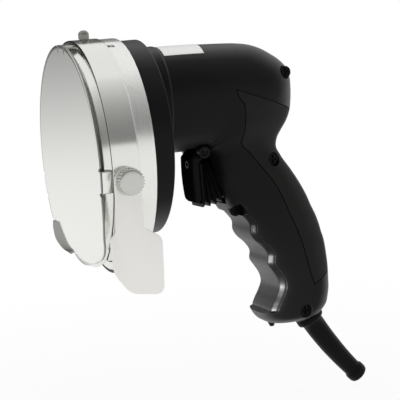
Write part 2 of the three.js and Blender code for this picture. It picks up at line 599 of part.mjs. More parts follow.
// Housing: a round barrel that closes to the rear, and a grip of squared ovals with finger grooves.
// Barrel rows hold a place along X and how far the top, bottom and sides stand in from the barrel's radius.
const barrelRows = [
  [BARREL_X, -COLLAR_RISE, -COLLAR_RISE, -COLLAR_RISE],
  [BARREL_X + COLLAR_LEN, -COLLAR_RISE, -COLLAR_RISE, -COLLAR_RISE],
  [BARREL_X + COLLAR_LEN + 0.8, 0, 0, 0],
  [BARREL_END - 24.4, 1.2, 0.6, 1], [BARREL_END - 18.4, 1.9, 0.6, 1.3], [BARREL_END - 13.4, 3.9, 0.8, 2.1],
  [BARREL_END - 8.4, 6.9, 1.8, 3.5], [BARREL_END - 4.4, 9.8, 7.6, 5.5], [BARREL_END - 1.4, 12.8, 12.4, 9],
  [BARREL_END - 0.3, 15.4, 15.6, 12.6], [BARREL_END, 16.8, 18, 14.6],
];
// Grip rows hold a share of the grip's length, the front and rear edges past GRIP_X, and a share of its width
const gripRows = [
  [-0.13, 2, 34.6, 0.88], [0, 0.1, 36.6, 0.94], [0.035, 0.5, 36.1, 0.95], [0.09, 1.9, 38.5, 0.96],
  [0.17, 4.1, 43, 0.98], [0.25, 6.4, 47.1, 0.99], [0.33, 8.6, 50.4, 1], [0.375, 10.9, 51.8, 1],
  [0.43, 14.3, 53.8, 1], [0.485, 14.6, 55.3, 1], [0.52, 16.4, 55.9, 1], [0.555, 19.5, 56.7, 1],
  [0.6, 22.1, 57.2, 1], [0.655, 21.9, 57.6, 1], [0.695, 24, 57.7, 1], [0.735, 26, 57.6, 1],
  [0.78, 26.7, 57.4, 1.01], [0.825, 25.1, 57.2, 1.02], [0.87, 22.7, 56.4, 1.03], [0.905, 21.4, 55.5, 1.02],
  [0.93, 21.8, 53.8, 1], [0.96, 23.2, 50.6, 0.92], [0.982, 26, 45.6, 0.7],
];
const GRIP_END = gripRows.at(-1)[0];
const BARREL_SQUARE = 2.15;
const GRIP_SQUARE = 2.6;
const clamp = THREE.MathUtils.clamp;

const barrel = (inset, count) => loft(barrelRows.map(([x, top, bottom, side], i) => {
  const back = inset * clamp((x - BARREL_END + 26) / 26, 0, 1);
  const place = inset && i === 0 ? x - 1 : x - back;
  const low = MOTOR_Z - BARREL_R + bottom + inset;
  const high = MOTOR_Z + BARREL_R - top - inset;
  return ring(count, (a) => {
    const [y, z] = oval(a, BARREL_R - side - inset, (high - low) / 2, BARREL_SQUARE);
    return [place, y, (high + low) / 2 + z];
  });
}));
const grip = (inset, count, rows) => loft(rows.map(([share, front, rear, width]) => {
  const z = GRIP_TOP - GRIP_LEN * share + inset * clamp((share - 0.8) * 5, 0, 1);
  return ring(count, (a) => {
    const [x, y] = oval(a, (rear - front) / 2 - inset, GRIP_WIDTH / 2 * width - inset, GRIP_SQUARE);
    return [GRIP_X + (front + rear) / 2 + x, y, z];
  });
}));
// The front of the grip is cut straight across, which leaves a crisp edge along each finger groove
const FINGER_CUT = 3;
const fingerRows = gripRows.filter(([share]) => share > 0.34 && share < 0.91);
const fingerFront = () => {
  const [first, last] = [fingerRows[0], fingerRows.at(-1)];
  const points = fingerRows.map(([share, front]) => [front + FINGER_CUT, share]);
  const outline = [[-20, first[0] - 0.02], [first[1] - 1, first[0] - 0.02], ...points,
    [last[1] - 1, last[0] + 0.02], [-20, last[0] + 0.02]];
  return sideways(new THREE.Shape(outline.map(([front, share]) =>
    new THREE.Vector2(GRIP_X + front, GRIP_TOP - GRIP_LEN * share))), -60, 60);
};
const outside = cut(join(barrel(0, 28), grip(0, 22, gripRows)), fingerFront());
const innerRows = [0, 3, 6, 7, 9, 12, 16, 19, 22].map((i) => gripRows[i])
  .map(([share, front, rear, width]) => [share, front + (share > 0.34 ? FINGER_CUT : 0), rear, width]);
const inside = join(barrel(WALL, 24), grip(WALL, 14, innerRows));

// Half width of the housing at a place on its side, from the rows on either side of it
const rowAt = (rows, key) => {
  const next = clamp(rows.filter((row) => row[0] < key).length, 1, rows.length - 1);
  const [low, high] = [rows[next - 1], rows[next]];
  const part = (key - low[0]) / (high[0] - low[0]);
  return low.map((value, i) => value + part * (high[i] - value));
};
const flankOf = (offset, a, b, squareness) =>
  b * (1 - Math.min(0.98, Math.abs(offset / a)) ** squareness) ** (1 / squareness);
const gripFlank = (x, z) => {
  const [, front, rear, width] = rowAt(gripRows, (GRIP_TOP - z) / GRIP_LEN);
  return flankOf(x - GRIP_X - (front + rear) / 2, (rear - front) / 2, GRIP_WIDTH / 2 * width, GRIP_SQUARE);
};
const barrelFlank = (x, z) => {
  const [, top, bottom, side] = rowAt(barrelRows, x);
  const tall = BARREL_R - (top + bottom) / 2;
  return flankOf(z - MOTOR_Z - (bottom - top) / 2, tall, BARREL_R - side, BARREL_SQUARE);
};

const screwSpots = {
  housing_screw_rear: [BARREL_END - 5.6, MOTOR_Z + 8.1],
  strap_screw: [GRIP_X + 31.4, GRIP_TOP - 0.103 * GRIP_LEN],
  housing_screw_front: [GRIP_X + 12.4, GRIP_TOP - 0.353 * GRIP_LEN],
  housing_screw_low: [GRIP_X + 40.6, GRIP_TOP - 0.924 * GRIP_LEN],
};
const screwAt = ([x, z]) => {
  const flank = z > GRIP_TOP ? barrelFlank(x, z) : gripFlank(x, z);
  return { x, z, head: 2.2 - flank, seat: 4.2 - flank, tip: flank - 5 };
};

// Trigger place, switch place, and the strain relief's seat at the rear foot of the grip
const PIVOT_X = GRIP_X - 1.6;
const PIVOT_Z = MOTOR_Z - BARREL_R - 0.6;
const PIVOT_R = 1.2;
const LUG_R = 2.7;
const CHEEK_Y = TRIGGER_W / 2 + 4.1;
const PLUNGER_Z = PIVOT_Z - 11.5;
const PLUNGER_R = 2;
const SWITCH_X = GRIP_X + 14;
const SWITCH_LEN = 12.4;
const SWITCH_HALF = 8;
const heel = [0.93, GRIP_END].map((share) => {
  const [, , rear] = rowAt(gripRows, share);
  return new THREE.Vector2(GRIP_X + rear, GRIP_TOP - GRIP_LEN * share);
});
const HEEL_SHARE = 0.78; // how far down the heel the cord leaves
const heelMid = heel[0].clone().lerp(heel[1], HEEL_SHARE);
const heelLine = heel[0].clone().sub(heel[1]).normalize();
const SLEEVE_TURN = Math.atan2(-heelLine.x, heelLine.y);
const heelRod = (s0, s1, radius, segments) => asSolid(
  new THREE.CylinderGeometry(radius, radius, s1 - s0, segments).translate(0, (s0 + s1) / 2, 0)
    .rotateZ(-Math.PI / 2).rotateY(-SLEEVE_TURN).translate(heelMid.x, 0, heelMid.y));

const mouthOf = () => {
  const half = TRIGGER_W / 2 + 0.4;
  const far = TRIGGER_H + 16;
  const reach = crossPin(PIVOT_X, PIVOT_Z, -half, half, TRIGGER_H + 3, 36);
  return reach.intersect(box(PIVOT_X - 7, SWITCH_X, -half, half, PIVOT_Z - far, PIVOT_Z + 3.4));
};
const housing = () => {
  let bosses = crossPin(...screwSpots.strap_screw, -40, 40, BOSS_R);
  for (const spotOf of Object.values(screwSpots)) bosses = bosses.add(crossPin(...spotOf, -40, 40, BOSS_R));
  const ribZ = GRIP_TOP - 0.235 * GRIP_LEN;
  const rib = box(SWITCH_X + 2, SWITCH_X + 10, -30, 30, ribZ - 1.5, ribZ + 1.5)
    .subtract(box(SWITCH_X, SWITCH_X + 12, -SWITCH_HALF - SEAT, SWITCH_HALF + SEAT, ribZ - 4, ribZ + 4));
  let shell = outside.subtract(inside).add(join(bosses, rib).intersect(outside));
  shell = join(shell, crossPin(PIVOT_X, PIVOT_Z, -CHEEK_Y, -TRIGGER_W / 2, LUG_R),
    crossPin(PIVOT_X, PIVOT_Z, TRIGGER_W / 2, CHEEK_Y, LUG_R), heelRod(-4, 0.6, SLEEVE_R + 1.6, 20));
  shell = cut(shell, mouthOf(), crossPin(PIVOT_X, PIVOT_Z, -40, 40, PIVOT_R + SEAT),
    heelRod(-6, 3, SLEEVE_R - 0.5, 16));
  for (const place of Object.values(screwSpots)) {
    const { x, z, head, seat, tip } = screwAt(place);
    shell = cut(shell, crossPin(x, z, head - 20, seat + SEAT, SCREW_HEAD_R + SEAT),
      crossPin(x, z, seat, tip + SEAT, SCREW_R + SEAT, 10));
  }
  return shell;
};

// The back strap's seam: along the barrel's side, down round the grip's root and along its flank
const seamLine = () => {
  const fall = (share) => GRIP_TOP - GRIP_LEN * share;
  const root = [[12.4, MOTOR_Z + 2.6], [13.2, MOTOR_Z - 0.4], [15.7, MOTOR_Z - 4.6], [16.2, MOTOR_Z - 9],
    [15.8, MOTOR_Z - 17], [15.2, fall(0)], [19.4, fall(0.059)], [22.8, fall(0.112)], [30.3, fall(0.234)],
    [36.6, fall(0.407)], [40.4, fall(0.526)], [43, fall(0.652)], [44.6, fall(0.74)], [45.6, fall(0.786)]]
    .map(([x, z]) => new THREE.Vector2(GRIP_X + x, z));
  return [new THREE.Vector2(BARREL_END + 10.6, MOTOR_Z - 14.6), ...root,
    new THREE.Vector2(BARREL_END + 30, fall(0.62))];
};
const strapSide = (shift) => {
  const line = seamLine();
  const moved = line.map((point, i) => {
    const sideOf = (from) => {
      const way = line[from + 1].clone().sub(line[from]).normalize();
      return new THREE.Vector2(-way.y, way.x);
    };
    const before = sideOf(Math.max(0, i - 1));
    const middle = before.clone().add(sideOf(Math.min(line.length - 2, i))).normalize();
    return point.clone().addScaledVector(middle, shift / middle.dot(before));
  });
  const past = BARREL_END + 60;
  return sideways(new THREE.Shape([...moved, new THREE.Vector2(past, moved.at(-1).y),
    new THREE.Vector2(past, moved[0].y)]), -60, 60);
};

const shell = housing();
const web = tube(REAR_MOTOR_X + 0.6, REAR_MOTOR_X + 4, MOTOR_BEARING.outer + SEAT, BARREL_R + 6, MOTOR_Z, 20)
  .intersect(outside);
const halves = shell.add(web).subtract(strapSide(-SEAM / 2));
add('housing_left', halves.intersect(box(0, 300, -90, -SEAM / 2, -200, 200)), 'shell');
add('housing_right', halves.intersect(box(0, 300, SEAM / 2, 90, -200, 200)), 'shell');
add('back_strap', shell.intersect(strapSide(SEAM / 2)), 'strap');
for (const [name, place] of Object.entries(screwSpots)) {
  const { x, z, head, seat, tip } = screwAt(place);
  const recess = box(x - 0.4, x + 0.4, head - 1, head + 1, z - 1.8, z + 1.8)
    .add(box(x - 1.8, x + 1.8, head - 1, head + 1, z - 0.4, z + 0.4));
  add(name, cut(join(crossPin(x, z, head, seat, SCREW_HEAD_R), crossPin(x, z, seat - 0.5, tip, SCREW_R, 10)),
    recess), 'steel');
}

// Trigger on its cross pin, with a pleated boot behind it that goes into the grip, and the switch
const triggerOutline = () => {
  const at = (dx, dz) => [PIVOT_X + dx, PIVOT_Z + dz];
  const low = -TRIGGER_H;
  const shape = new THREE.Shape();
  shape.moveTo(...at(-2.6, 1.2));
  shape.lineTo(...at(-3.4, -0.4));
  shape.lineTo(...at(-5.2, -2.2));
  shape.quadraticCurveTo(...at(-6, low * 0.48), ...at(-5, low + 3.4));
  shape.quadraticCurveTo(...at(-4.5, low + 0.4), ...at(-1.6, low));
  shape.lineTo(...at(-1.4, -5));
  shape.lineTo(...at(2, -2));
  shape.closePath();
  return shape;
};
add('trigger', cut(join(sideways(triggerOutline(), -TRIGGER_W / 2, TRIGGER_W / 2),
  crossPin(PIVOT_X, PIVOT_Z, -TRIGGER_W / 2, TRIGGER_W / 2, PIVOT_R + 1.4)),
crossPin(PIVOT_X, PIVOT_Z, -20, 20, PIVOT_R + SEAT)), 'trigger');
add('trigger_pin', crossPin(PIVOT_X, PIVOT_Z, -CHEEK_Y, CHEEK_Y, PIVOT_R, 16), 'steel');

const trunk = (from, to, steps, at) => loft(Array.from({ length: steps + 1 }, (_, i) => {
  const angle = rad(from + (to - from) * i / steps);
  const { inner, outer, half } = at(i);
  const place = (r, y) => [PIVOT_X + r * Math.sin(angle), y, PIVOT_Z - r * Math.cos(angle)];
  return [place(inner, -half), place(outer, -half), place(outer, half), place(inner, half)];
}));
const boot = trunk(-2, 26, 2 * BOOT_PLEATS, (i) => {
  const fold = i % 2;
  return { inner: 6.5, outer: TRIGGER_H + 1.6 - 1.7 * fold, half: TRIGGER_W / 2 - 0.2 - 0.9 * fold };
});
const bootHollow = trunk(-8, 32, 2, () => (
  { inner: 8.5, outer: TRIGGER_H - 2.4, half: TRIGGER_W / 2 - 2.6 }));
add('trigger_boot', boot.subtract(bootHollow), 'rubber');

const plungerFront = PIVOT_X - 1.4 + SEAT;
add('switch_plunger', rod(plungerFront, SWITCH_X + 3.4, PLUNGER_R, PLUNGER_Z, 16), 'trigger');
add('switch_body', cut(box(SWITCH_X, SWITCH_X + SWITCH_LEN, -SWITCH_HALF, SWITCH_HALF,
  GRIP_TOP - 0.29 * GRIP_LEN, GRIP_TOP - 0.04 * GRIP_LEN),
rod(SWITCH_X - 1, SWITCH_X + 7, PLUNGER_R + SEAT, PLUNGER_Z, 16)), 'carbon');

// Strain relief: a stem in the heel of the grip, a collar, and a taper that ends in a bead, bored through
const SLEEVE_BEND = rad(14);
const sleeveRows = [
  [-4.5, SLEEVE_R - 0.8], [0.9, SLEEVE_R - 0.8], [0.9, SLEEVE_R + 1.6], [3.6, SLEEVE_R + 1.6],
  [4.2, SLEEVE_R], [SLEEVE_LEN * 0.35, SLEEVE_R - 0.3],
  [SLEEVE_LEN * 0.6, SLEEVE_R - 0.6],
  [SLEEVE_LEN - 5.4, SLEEVE_TIP_R], [SLEEVE_LEN - 4.6, SLEEVE_TIP_R + 0.7],
  [SLEEVE_LEN - 1, SLEEVE_TIP_R + 0.6], [SLEEVE_LEN, SLEEVE_TIP_R],
];
const sleeveRing = (s, radius, count) => {
  const share = clamp(s / SLEEVE_LEN, 0, 1);
  const turn = SLEEVE_TURN + SLEEVE_BEND * share;
  const chord = SLEEVE_TURN + SLEEVE_BEND * share / 2;
  const x = heelMid.x + s * Math.cos(chord);
  const z = heelMid.y + s * Math.sin(chord);
  return ring(count, (a) => [x - radius * Math.cos(a) * Math.sin(turn), radius * Math.sin(a),
    z + radius * Math.cos(a) * Math.cos(turn)]);
};
const sleeve = loft(sleeveRows.map(([s, radius]) => sleeveRing(s, radius, 16)));
const boreStations = [-6, 0, SLEEVE_LEN / 3, SLEEVE_LEN * 2 / 3, SLEEVE_LEN, SLEEVE_LEN + 2];
const sleeveBore = loft(boreStations.map((s) => sleeveRing(s, SLEEVE_BORE_R, 10)));
add('cord_sleeve', sleeve.subtract(sleeveBore), 'rubber');

const FOOT_H = 2.4;
const footPlace = [GRIP_X + 29, GRIP_TOP - GRIP_LEN * GRIP_END - SEAT];
add('grip_foot', asSolid(new THREE.CylinderGeometry(2.1, 1, FOOT_H, 16).rotateX(Math.PI / 2)
  .translate(footPlace[0], 0, footPlace[1] - FOOT_H / 2)), 'shell');

export default object;
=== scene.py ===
# %% [markdown]
# A hand-held electric kebab slicer: a round blade behind a guide plate, a steel guard ring, a gear case,
# and a black plastic housing with a pistol grip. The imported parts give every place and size, so this
# lesson only makes the surfaces that the eye meets, finer than the parts, and gives them their finishes.

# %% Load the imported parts
import bmesh
import bpy
import numpy as np
from mathutils import Matrix, Vector


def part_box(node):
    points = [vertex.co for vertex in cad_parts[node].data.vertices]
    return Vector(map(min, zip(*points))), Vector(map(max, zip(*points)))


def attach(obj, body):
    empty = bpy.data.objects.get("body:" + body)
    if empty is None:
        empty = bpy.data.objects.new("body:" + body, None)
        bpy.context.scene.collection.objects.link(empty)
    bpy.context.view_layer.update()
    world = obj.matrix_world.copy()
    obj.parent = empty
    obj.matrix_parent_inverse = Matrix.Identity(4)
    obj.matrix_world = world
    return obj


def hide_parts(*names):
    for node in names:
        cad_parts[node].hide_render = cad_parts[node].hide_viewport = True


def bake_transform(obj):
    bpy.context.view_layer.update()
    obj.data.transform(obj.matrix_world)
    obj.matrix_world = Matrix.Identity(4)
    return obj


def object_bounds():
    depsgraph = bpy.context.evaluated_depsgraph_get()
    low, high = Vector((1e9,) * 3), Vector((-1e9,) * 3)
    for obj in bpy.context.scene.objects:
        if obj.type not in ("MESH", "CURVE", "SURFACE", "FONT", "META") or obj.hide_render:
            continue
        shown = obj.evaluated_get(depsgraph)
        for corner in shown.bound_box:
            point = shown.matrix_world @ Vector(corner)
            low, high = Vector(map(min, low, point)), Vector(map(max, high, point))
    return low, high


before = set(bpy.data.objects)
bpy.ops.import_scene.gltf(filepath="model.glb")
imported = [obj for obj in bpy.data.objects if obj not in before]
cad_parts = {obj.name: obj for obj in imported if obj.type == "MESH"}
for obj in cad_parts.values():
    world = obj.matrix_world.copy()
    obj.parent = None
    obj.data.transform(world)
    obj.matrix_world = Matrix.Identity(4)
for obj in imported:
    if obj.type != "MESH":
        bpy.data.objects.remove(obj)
cad_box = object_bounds()
scene = bpy.context.scene
MM = 0.001
print("loaded", len(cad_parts), "parts")

# %% [markdown]
# Every new piece is a grid of points, which can close on itself along its rows or its columns, or be capped
# at its ends. Smooth shading breaks only where faces meet at a clear angle, so edges stay crisp.

# %% Grids into meshes
def grid_faces(rows, cols, wrap_rows=False, wrap_cols=False):
    """Four-cornered faces between neighbouring points of a grid that is numbered row by row."""
    index = np.arange(rows * cols).reshape(rows, cols)
    if wrap_rows:
        index = np.vstack([index, index[:1]])
    if wrap_cols:
        index = np.hstack([index, index[:, :1]])
    corners = [index[:-1, :-1], index[1:, :-1], index[1:, 1:], index[:-1, 1:]]
    return np.stack(corners, -1).reshape(-1, 4).tolist()


def tidy_mesh(mesh, sharp=32):
    """Merges doubled points, turns the faces outwards and keeps edges sharper than an angle crisp."""
    shape = bmesh.new()
    shape.from_mesh(mesh)
    bmesh.ops.remove_doubles(shape, verts=shape.verts, dist=1e-7)
    bmesh.ops.recalc_face_normals(shape, faces=shape.faces)
    shape.to_mesh(mesh)
    shape.free()
    mesh.shade_smooth()
    mesh.set_sharp_from_angle(angle=np.radians(sharp))
    return mesh


def added(name, data):
    """An object with that mesh, lamp or camera, put into the scene."""
    made = bpy.data.objects.new(name, data)
    scene.collection.objects.link(made)
    return made


def solid(name, points, wrap_rows=False, wrap_cols=True, caps=True, sharp=32):
    """A mesh object from a grid of points in millimetres, with its first and last rows closed by caps."""
    rows, cols = points.shape[:2]
    faces = grid_faces(rows, cols, wrap_rows, wrap_cols)
    if caps and not wrap_rows:
        faces += [list(range(cols)), list(range((rows - 1) * cols, rows * cols))]
    mesh = bpy.data.meshes.new(name)
    mesh.from_pydata(points.reshape(-1, 3) * MM, [], faces)
    return added(name, tidy_mesh(mesh, sharp))


# %% [markdown]
# Each piece is handed over with its finish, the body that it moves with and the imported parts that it
# stands for. Sheet metal starts as a surface without thickness, so a second helper thickens it.

# %% Handing pieces over
def placed(made, body, slot, material, *nodes):
    """Gives a piece its finish, the body that it moves with and the parts that it stands for."""
    made.data.materials.clear()
    made.data.materials.append(material)
    if body:
        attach(made, body)
    if nodes:
        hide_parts(*nodes)
    print(made.name, "has", len(made.data.polygons), "faces")
    return made


def thickened(made, thickness, side=0, rim=0):
    """Sheet of a thickness in millimetres, half to each side, or all inwards when side is -1. With rim 1,
    its rim takes the piece's next finish."""
    sheet = made.modifiers.new("sheet", "SOLIDIFY")
    sheet.thickness, sheet.offset, sheet.material_offset_rim = thickness * MM, side, rim
    return made


# %% [markdown]
# A real edge is always a little round, and catches a line of light. So corners become short curves here,
# and longer forms are smooth curves through the rows of a table.

# %% Softened outlines
def softened(corners, radius, steps=6):
    """Closed outline whose corners become curves: each runs from a point one radius before the corner
    to one radius after it, as a weighted mean of those two points and the corner."""
    corner = np.asarray(corners, float)
    before, after = np.roll(corner, 1, 0) - corner, np.roll(corner, -1, 0) - corner
    room_before, room_after = np.linalg.norm(before, axis=1), np.linalg.norm(after, axis=1)
    reach = np.broadcast_to(np.asarray(radius, float), len(corner))
    reach = np.minimum(reach, 0.48 * np.minimum(room_before, room_after))[:, None]
    start = corner + before / room_before[:, None] * reach
    end = corner + after / room_after[:, None] * reach
    t = np.linspace(0, 1, steps)[None, :, None]
    curve = (1 - t) ** 2 * start[:, None] + 2 * t * (1 - t) * corner[:, None] + t ** 2 * end[:, None]
    return curve.reshape(-1, 2)


def bend(a, b, c, steps=10):
    """Points of a curve that leaves a towards b and arrives at c from b."""
    a, b, c = (np.array(point, float) for point in (a, b, c))
    t = np.linspace(0, 1, steps)[:, None]
    return (1 - t) ** 2 * a + 2 * t * (1 - t) * b + t ** 2 * c


def smooth_rows(keys, table, at):
    """Smooth curve through a table's rows: a cubic between neighbours, whose slope at a row is the mean of
    the slopes on its two sides, weighted towards the nearer row."""
    step = np.diff(keys)[:, None]
    slope = np.diff(table, axis=0) / step
    inner = (slope[1:] * step[:-1] + slope[:-1] * step[1:]) / (step[1:] + step[:-1])
    tangent = np.vstack([slope[:1], inner, slope[-1:]])
    i = np.clip(np.searchsorted(keys, at, side="right") - 1, 0, len(keys) - 2)
    t, h = (at - keys[i])[:, None] / step[i], step[i]
    return (table[i] * (1 + 2 * t) * (1 - t) ** 2 + tangent[i] * h * t * (1 - t) ** 2
            + table[i + 1] * t * t * (3 - 2 * t) - tangent[i + 1] * h * t * t * (1 - t))


# %% [markdown]
# Most metal parts are either turned on a lathe or cut from flat stock. A turned part is a profile carried
# round the X axis. A flat one is an outline with a thickness and rounded edges.

# %% Turned and flat pieces
def once_round(count):
    """Angles of so many points that go once round a circle, the first not repeated."""
    return np.linspace(0, 2 * np.pi, count, endpoint=False)


def turned(name, profile, rise=0.0, segments=192):
    """A closed profile of (place along X, radius) carried round an axis that lies rise above the X axis."""
    turn = once_round(segments)
    x, radius = profile[:, :1], profile[:, 1:]
    ring = [x + 0 * turn, radius * np.cos(turn), rise + radius * np.sin(turn)]
    return solid(name, np.stack(ring, -1), wrap_rows=True)


def slab(name, outline, low, high, edge, steps=5):
    """A flat outline in X and Z given a thickness along Y: the outline moves inwards along its normals
    as it nears either face, by a quarter circle of radius edge."""
    ahead = np.roll(outline, -1, 0)
    way = ahead - np.roll(outline, 1, 0)
    inwards = np.stack([-way[:, 1], way[:, 0]], 1) / np.linalg.norm(way, axis=1)[:, None]
    inwards *= np.sign(np.sum(outline[:, 0] * ahead[:, 1] - ahead[:, 0] * outline[:, 1]))
    turn = np.linspace(np.pi / 2, 0, steps)
    y = np.concatenate([low + edge * (1 - np.sin(turn)), high - edge * (1 - np.sin(turn[::-1]))])
    inset = edge * (1 - np.cos(np.concatenate([turn, turn[::-1]])))
    flat = outline[None] + inwards[None] * inset[:, None, None]
    points = np.stack([flat[..., 0], y[:, None] + 0 * flat[..., 0], flat[..., 1]], -1)
    return solid(name, points)


# %% [markdown]
# Colours are written as the eye names them on a screen, and turned to the linear values that light needs.
# One small function adds a node, its settings and its links. Patterns use Object coordinates in metres, so
# a pattern that repeats every 0.3 mm has a scale of one over 0.0003.

# %% Colours and nodes
def linear(colour):
    """Screen colour such as #808080 as linear light: the usual two-part curve."""
    part = np.array([int(colour[i:i + 2], 16) for i in (1, 3, 5)]) / 255
    part = np.where(part <= 0.04045, part / 12.92, ((part + 0.055) / 1.055) ** 2.4)
    return (*part.tolist(), 1.0)


def add_node(tree, kind, values=(), links=(), **settings):
    """Adds one node with its own settings, its socket values and links from other nodes' outputs."""
    node = tree.nodes.new("ShaderNode" + kind)
    for name, value in settings.items():
        setattr(node, name, value)
    for socket, value in dict(values).items():
        node.inputs[socket].default_value = value
    for socket, output in dict(links).items():
        tree.links.new(output, node.inputs[socket])
    return node


# %% [markdown]
# All finishes have one build: a fine noise, stretched like the marks on the real surface, moves colour,
# roughness and height together. Moulded plastic shines more aslant, so its gloss can follow the slant.

# %% One build for every finish
def finish(name, colour, spread, metallic, rough, size, depth, gloss=(0.5, 0.5)):
    """A surface with one fine pattern of a size in millimetres, all ways or each way. It moves the colour
    between two tones, the roughness between two values and the height by depth millimetres. Gloss is the
    specular level seen square on and aslant."""
    material = bpy.data.materials.new(name)
    material.use_nodes = True
    tree = material.node_tree
    shader = tree.nodes["Principled BSDF"]
    shader.inputs["Metallic"].default_value = metallic
    if not metallic:
        shader.inputs["Specular IOR Level"].default_value = gloss[0]
    if gloss[0] != gloss[1]:
        slant = add_node(tree, "LayerWeight", {"Blend": 0.5})
        level = add_node(tree, "MapRange", {
            "From Min": 0.3, "From Max": 0.6, "To Min": gloss[0], "To Max": gloss[1],
        }, {"Value": slant.outputs["Facing"]})
        tree.links.new(level.outputs["Result"], shader.inputs["Specular IOR Level"])
    place = add_node(tree, "TexCoord")
    scale = 1 / (np.broadcast_to(size, 3) * MM)
    scaled = add_node(tree, "Mapping", {"Scale": scale.tolist()}, {"Vector": place.outputs["Object"]})
    grain = add_node(tree, "TexNoise", {"Scale": 1.0, "Detail": 3.0, "Roughness": 0.6},
                     {"Vector": scaled.outputs["Vector"]}).outputs["Fac"]
    # A Mix node's colours are its sockets 6 and 7, and its output for colours is 2
    mix = add_node(tree, "Mix", {6: linear(colour), 7: linear(spread)}, {0: grain}, data_type="RGBA")
    tree.links.new(mix.outputs[2], shader.inputs["Base Color"])
    dull = add_node(tree, "MapRange", {"To Min": rough[0], "To Max": rough[1]}, {"Value": grain})
    tree.links.new(dull.outputs["Result"], shader.inputs["Roughness"])
    bump = add_node(tree, "Bump", {"Strength": 1.0, "Distance": depth * MM}, {"Height": grain})
    tree.links.new(bump.outputs["Normal"], shader.inputs["Normal"])
    return material


# %% [markdown]
# The metals. The guide plate is cold-rolled stainless sheet with fine lines that run up and down, and the
# guard ring was polished as it turned, so its lines run round it. The lines are drawn about 0.4 mm apart,
# coarser than real ones, so that they show. The gear case is die-cast aluminium, turned bright on its rim.

# %% Metal finishes
# Rolling lines: a pale, nearly clear mirror, smeared up and down
plate_steel = finish("rolled stainless sheet", "#e2e3de", "#ecede8", 1.0, (0.17, 0.24), (4, 0.4, 40), 0.001)
# Lines round the band: light and dark patches stay sharp along it
ring_steel = finish("polished stainless band", "#dadbd6", "#e6e7e2", 1.0, (0.12, 0.19), (0.35, 60, 60), 0.001)
# Bead marks: a soft pale grey with no clear reflection
deflector_steel = finish("bead-blasted stainless", "#e4e3df", "#f0efeb", 1.0, (0.38, 0.46), 0.5, 0.008)
# Grinding lines round the dish: a clear reflection, drawn out
blade_steel = finish("ground blade steel", "#dcddd8", "#e8e9e4", 1.0, (0.14, 0.24), (0.3, 70, 70), 0.002)
# Turning marks: whiter and duller than steel
cast_metal = finish("turned cast aluminium", "#e0e1dd", "#eeefeb", 1.0, (0.24, 0.32), (0.3, 50, 50), 0.002)
# Lathe marks: a mid grey with a broad sheen
turned_steel = finish("turned bright steel", "#bcbdb8", "#cacbc6", 1.0, (0.2, 0.3), (0.6, 0.3, 0.6), 0.002)
# Sheared edges are rough, a darker grey than the face; this grey is also painted shade along the plate's rim
# and over the whole flap
edge_grey_and_painted_shade = finish("sheared edge and painted shade", "#8a8b86", "#a0a19c", 1.0, (0.35, 0.5), 0.3, 0.01)
# Dulled plating: grey, with soft reflections
worn_steel = finish("dull zinc-plated steel", "#7c7c77", "#8e8e89", 1.0, (0.3, 0.42), 0.6, 0.004)
# Oil-blackened screws: a faint glint only; the same black on the guard ring's rim is painted shade
black_steel_and_painted_rim_shade = finish("blackened screw steel and painted rim shade", "#141414", "#1c1c1c", 1.0, (0.35, 0.5), 0.4, 0.004)
print("metal finishes made")

# %% [markdown]
# The plastics and rubber. The housing is black ABS from a mould with a fine spark-eroded grain, which
# spreads each highlight. The back strap is a softer, slightly greenish black with a coarser grain. The
# hidden pieces inside get their own finishes too, because the housing may be taken apart in a scene.

# %% Plastic and rubber finishes
# Fine grain: black square on, with a grey bloom where the form turns away
shell_plastic = finish("moulded black ABS", "#0b0b0b", "#111111", 0.0, (0.4, 0.48), 0.5, 0.012, (0.12, 0.4))
# Coarser grain: more matt than the shell, and a little green beside it
strap_plastic = finish("moulded soft strap", "#0d0f0c", "#131511", 0.0, (0.42, 0.52), 0.7, 0.02, (0.16, 0.06))
# Satin that hardly shines
trigger_plastic = finish("moulded satin trigger", "#101010", "#171717", 0.0, (0.36, 0.46), 0.6, 0.01,
                         (0.06, 0.0))
# Matt, with a faint sheen on the crests of the pleats
boot_rubber = finish("moulded black rubber", "#0a0a0a", "#0f0f0f", 0.0, (0.5, 0.64), 0.8, 0.03, (0.1, 0.25))
# Smooth white film and flat grey print
label_film = finish("blank white label film", "#f3f3f1", "#f9f9f7", 0.0, (0.35, 0.45), 1.5, 0.002)
mark_paint = finish("printed grey mark", "#8c8c8a", "#989896", 0.0, (0.5, 0.6), 1, 0.001)
# Inside: red-brown varnish, grey sheet edges, matt black and dull yellow
copper_wire = finish("enamelled copper wire", "#8a4a24", "#a85d30", 1.0, (0.3, 0.45), 0.4, 0.05)
core_iron = finish("stacked iron sheet", "#5c5d5e", "#707172", 1.0, (0.4, 0.55), (0.5, 30, 30), 0.03)
brush_carbon = finish("pressed carbon", "#1d1d1e", "#29292a", 0.0, (0.6, 0.75), 0.5, 0.02)
holder_brass = finish("pressed brass", "#b08d45", "#c2a055", 1.0, (0.3, 0.42), 0.8, 0.004)
print("plastic, rubber and inner finishes made")

# %% [markdown]
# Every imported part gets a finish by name; what isn't named is turned steel, such as shafts, gears and
# bearings. The pieces inside the housing and the screws stay as packed, and the others are replaced later.

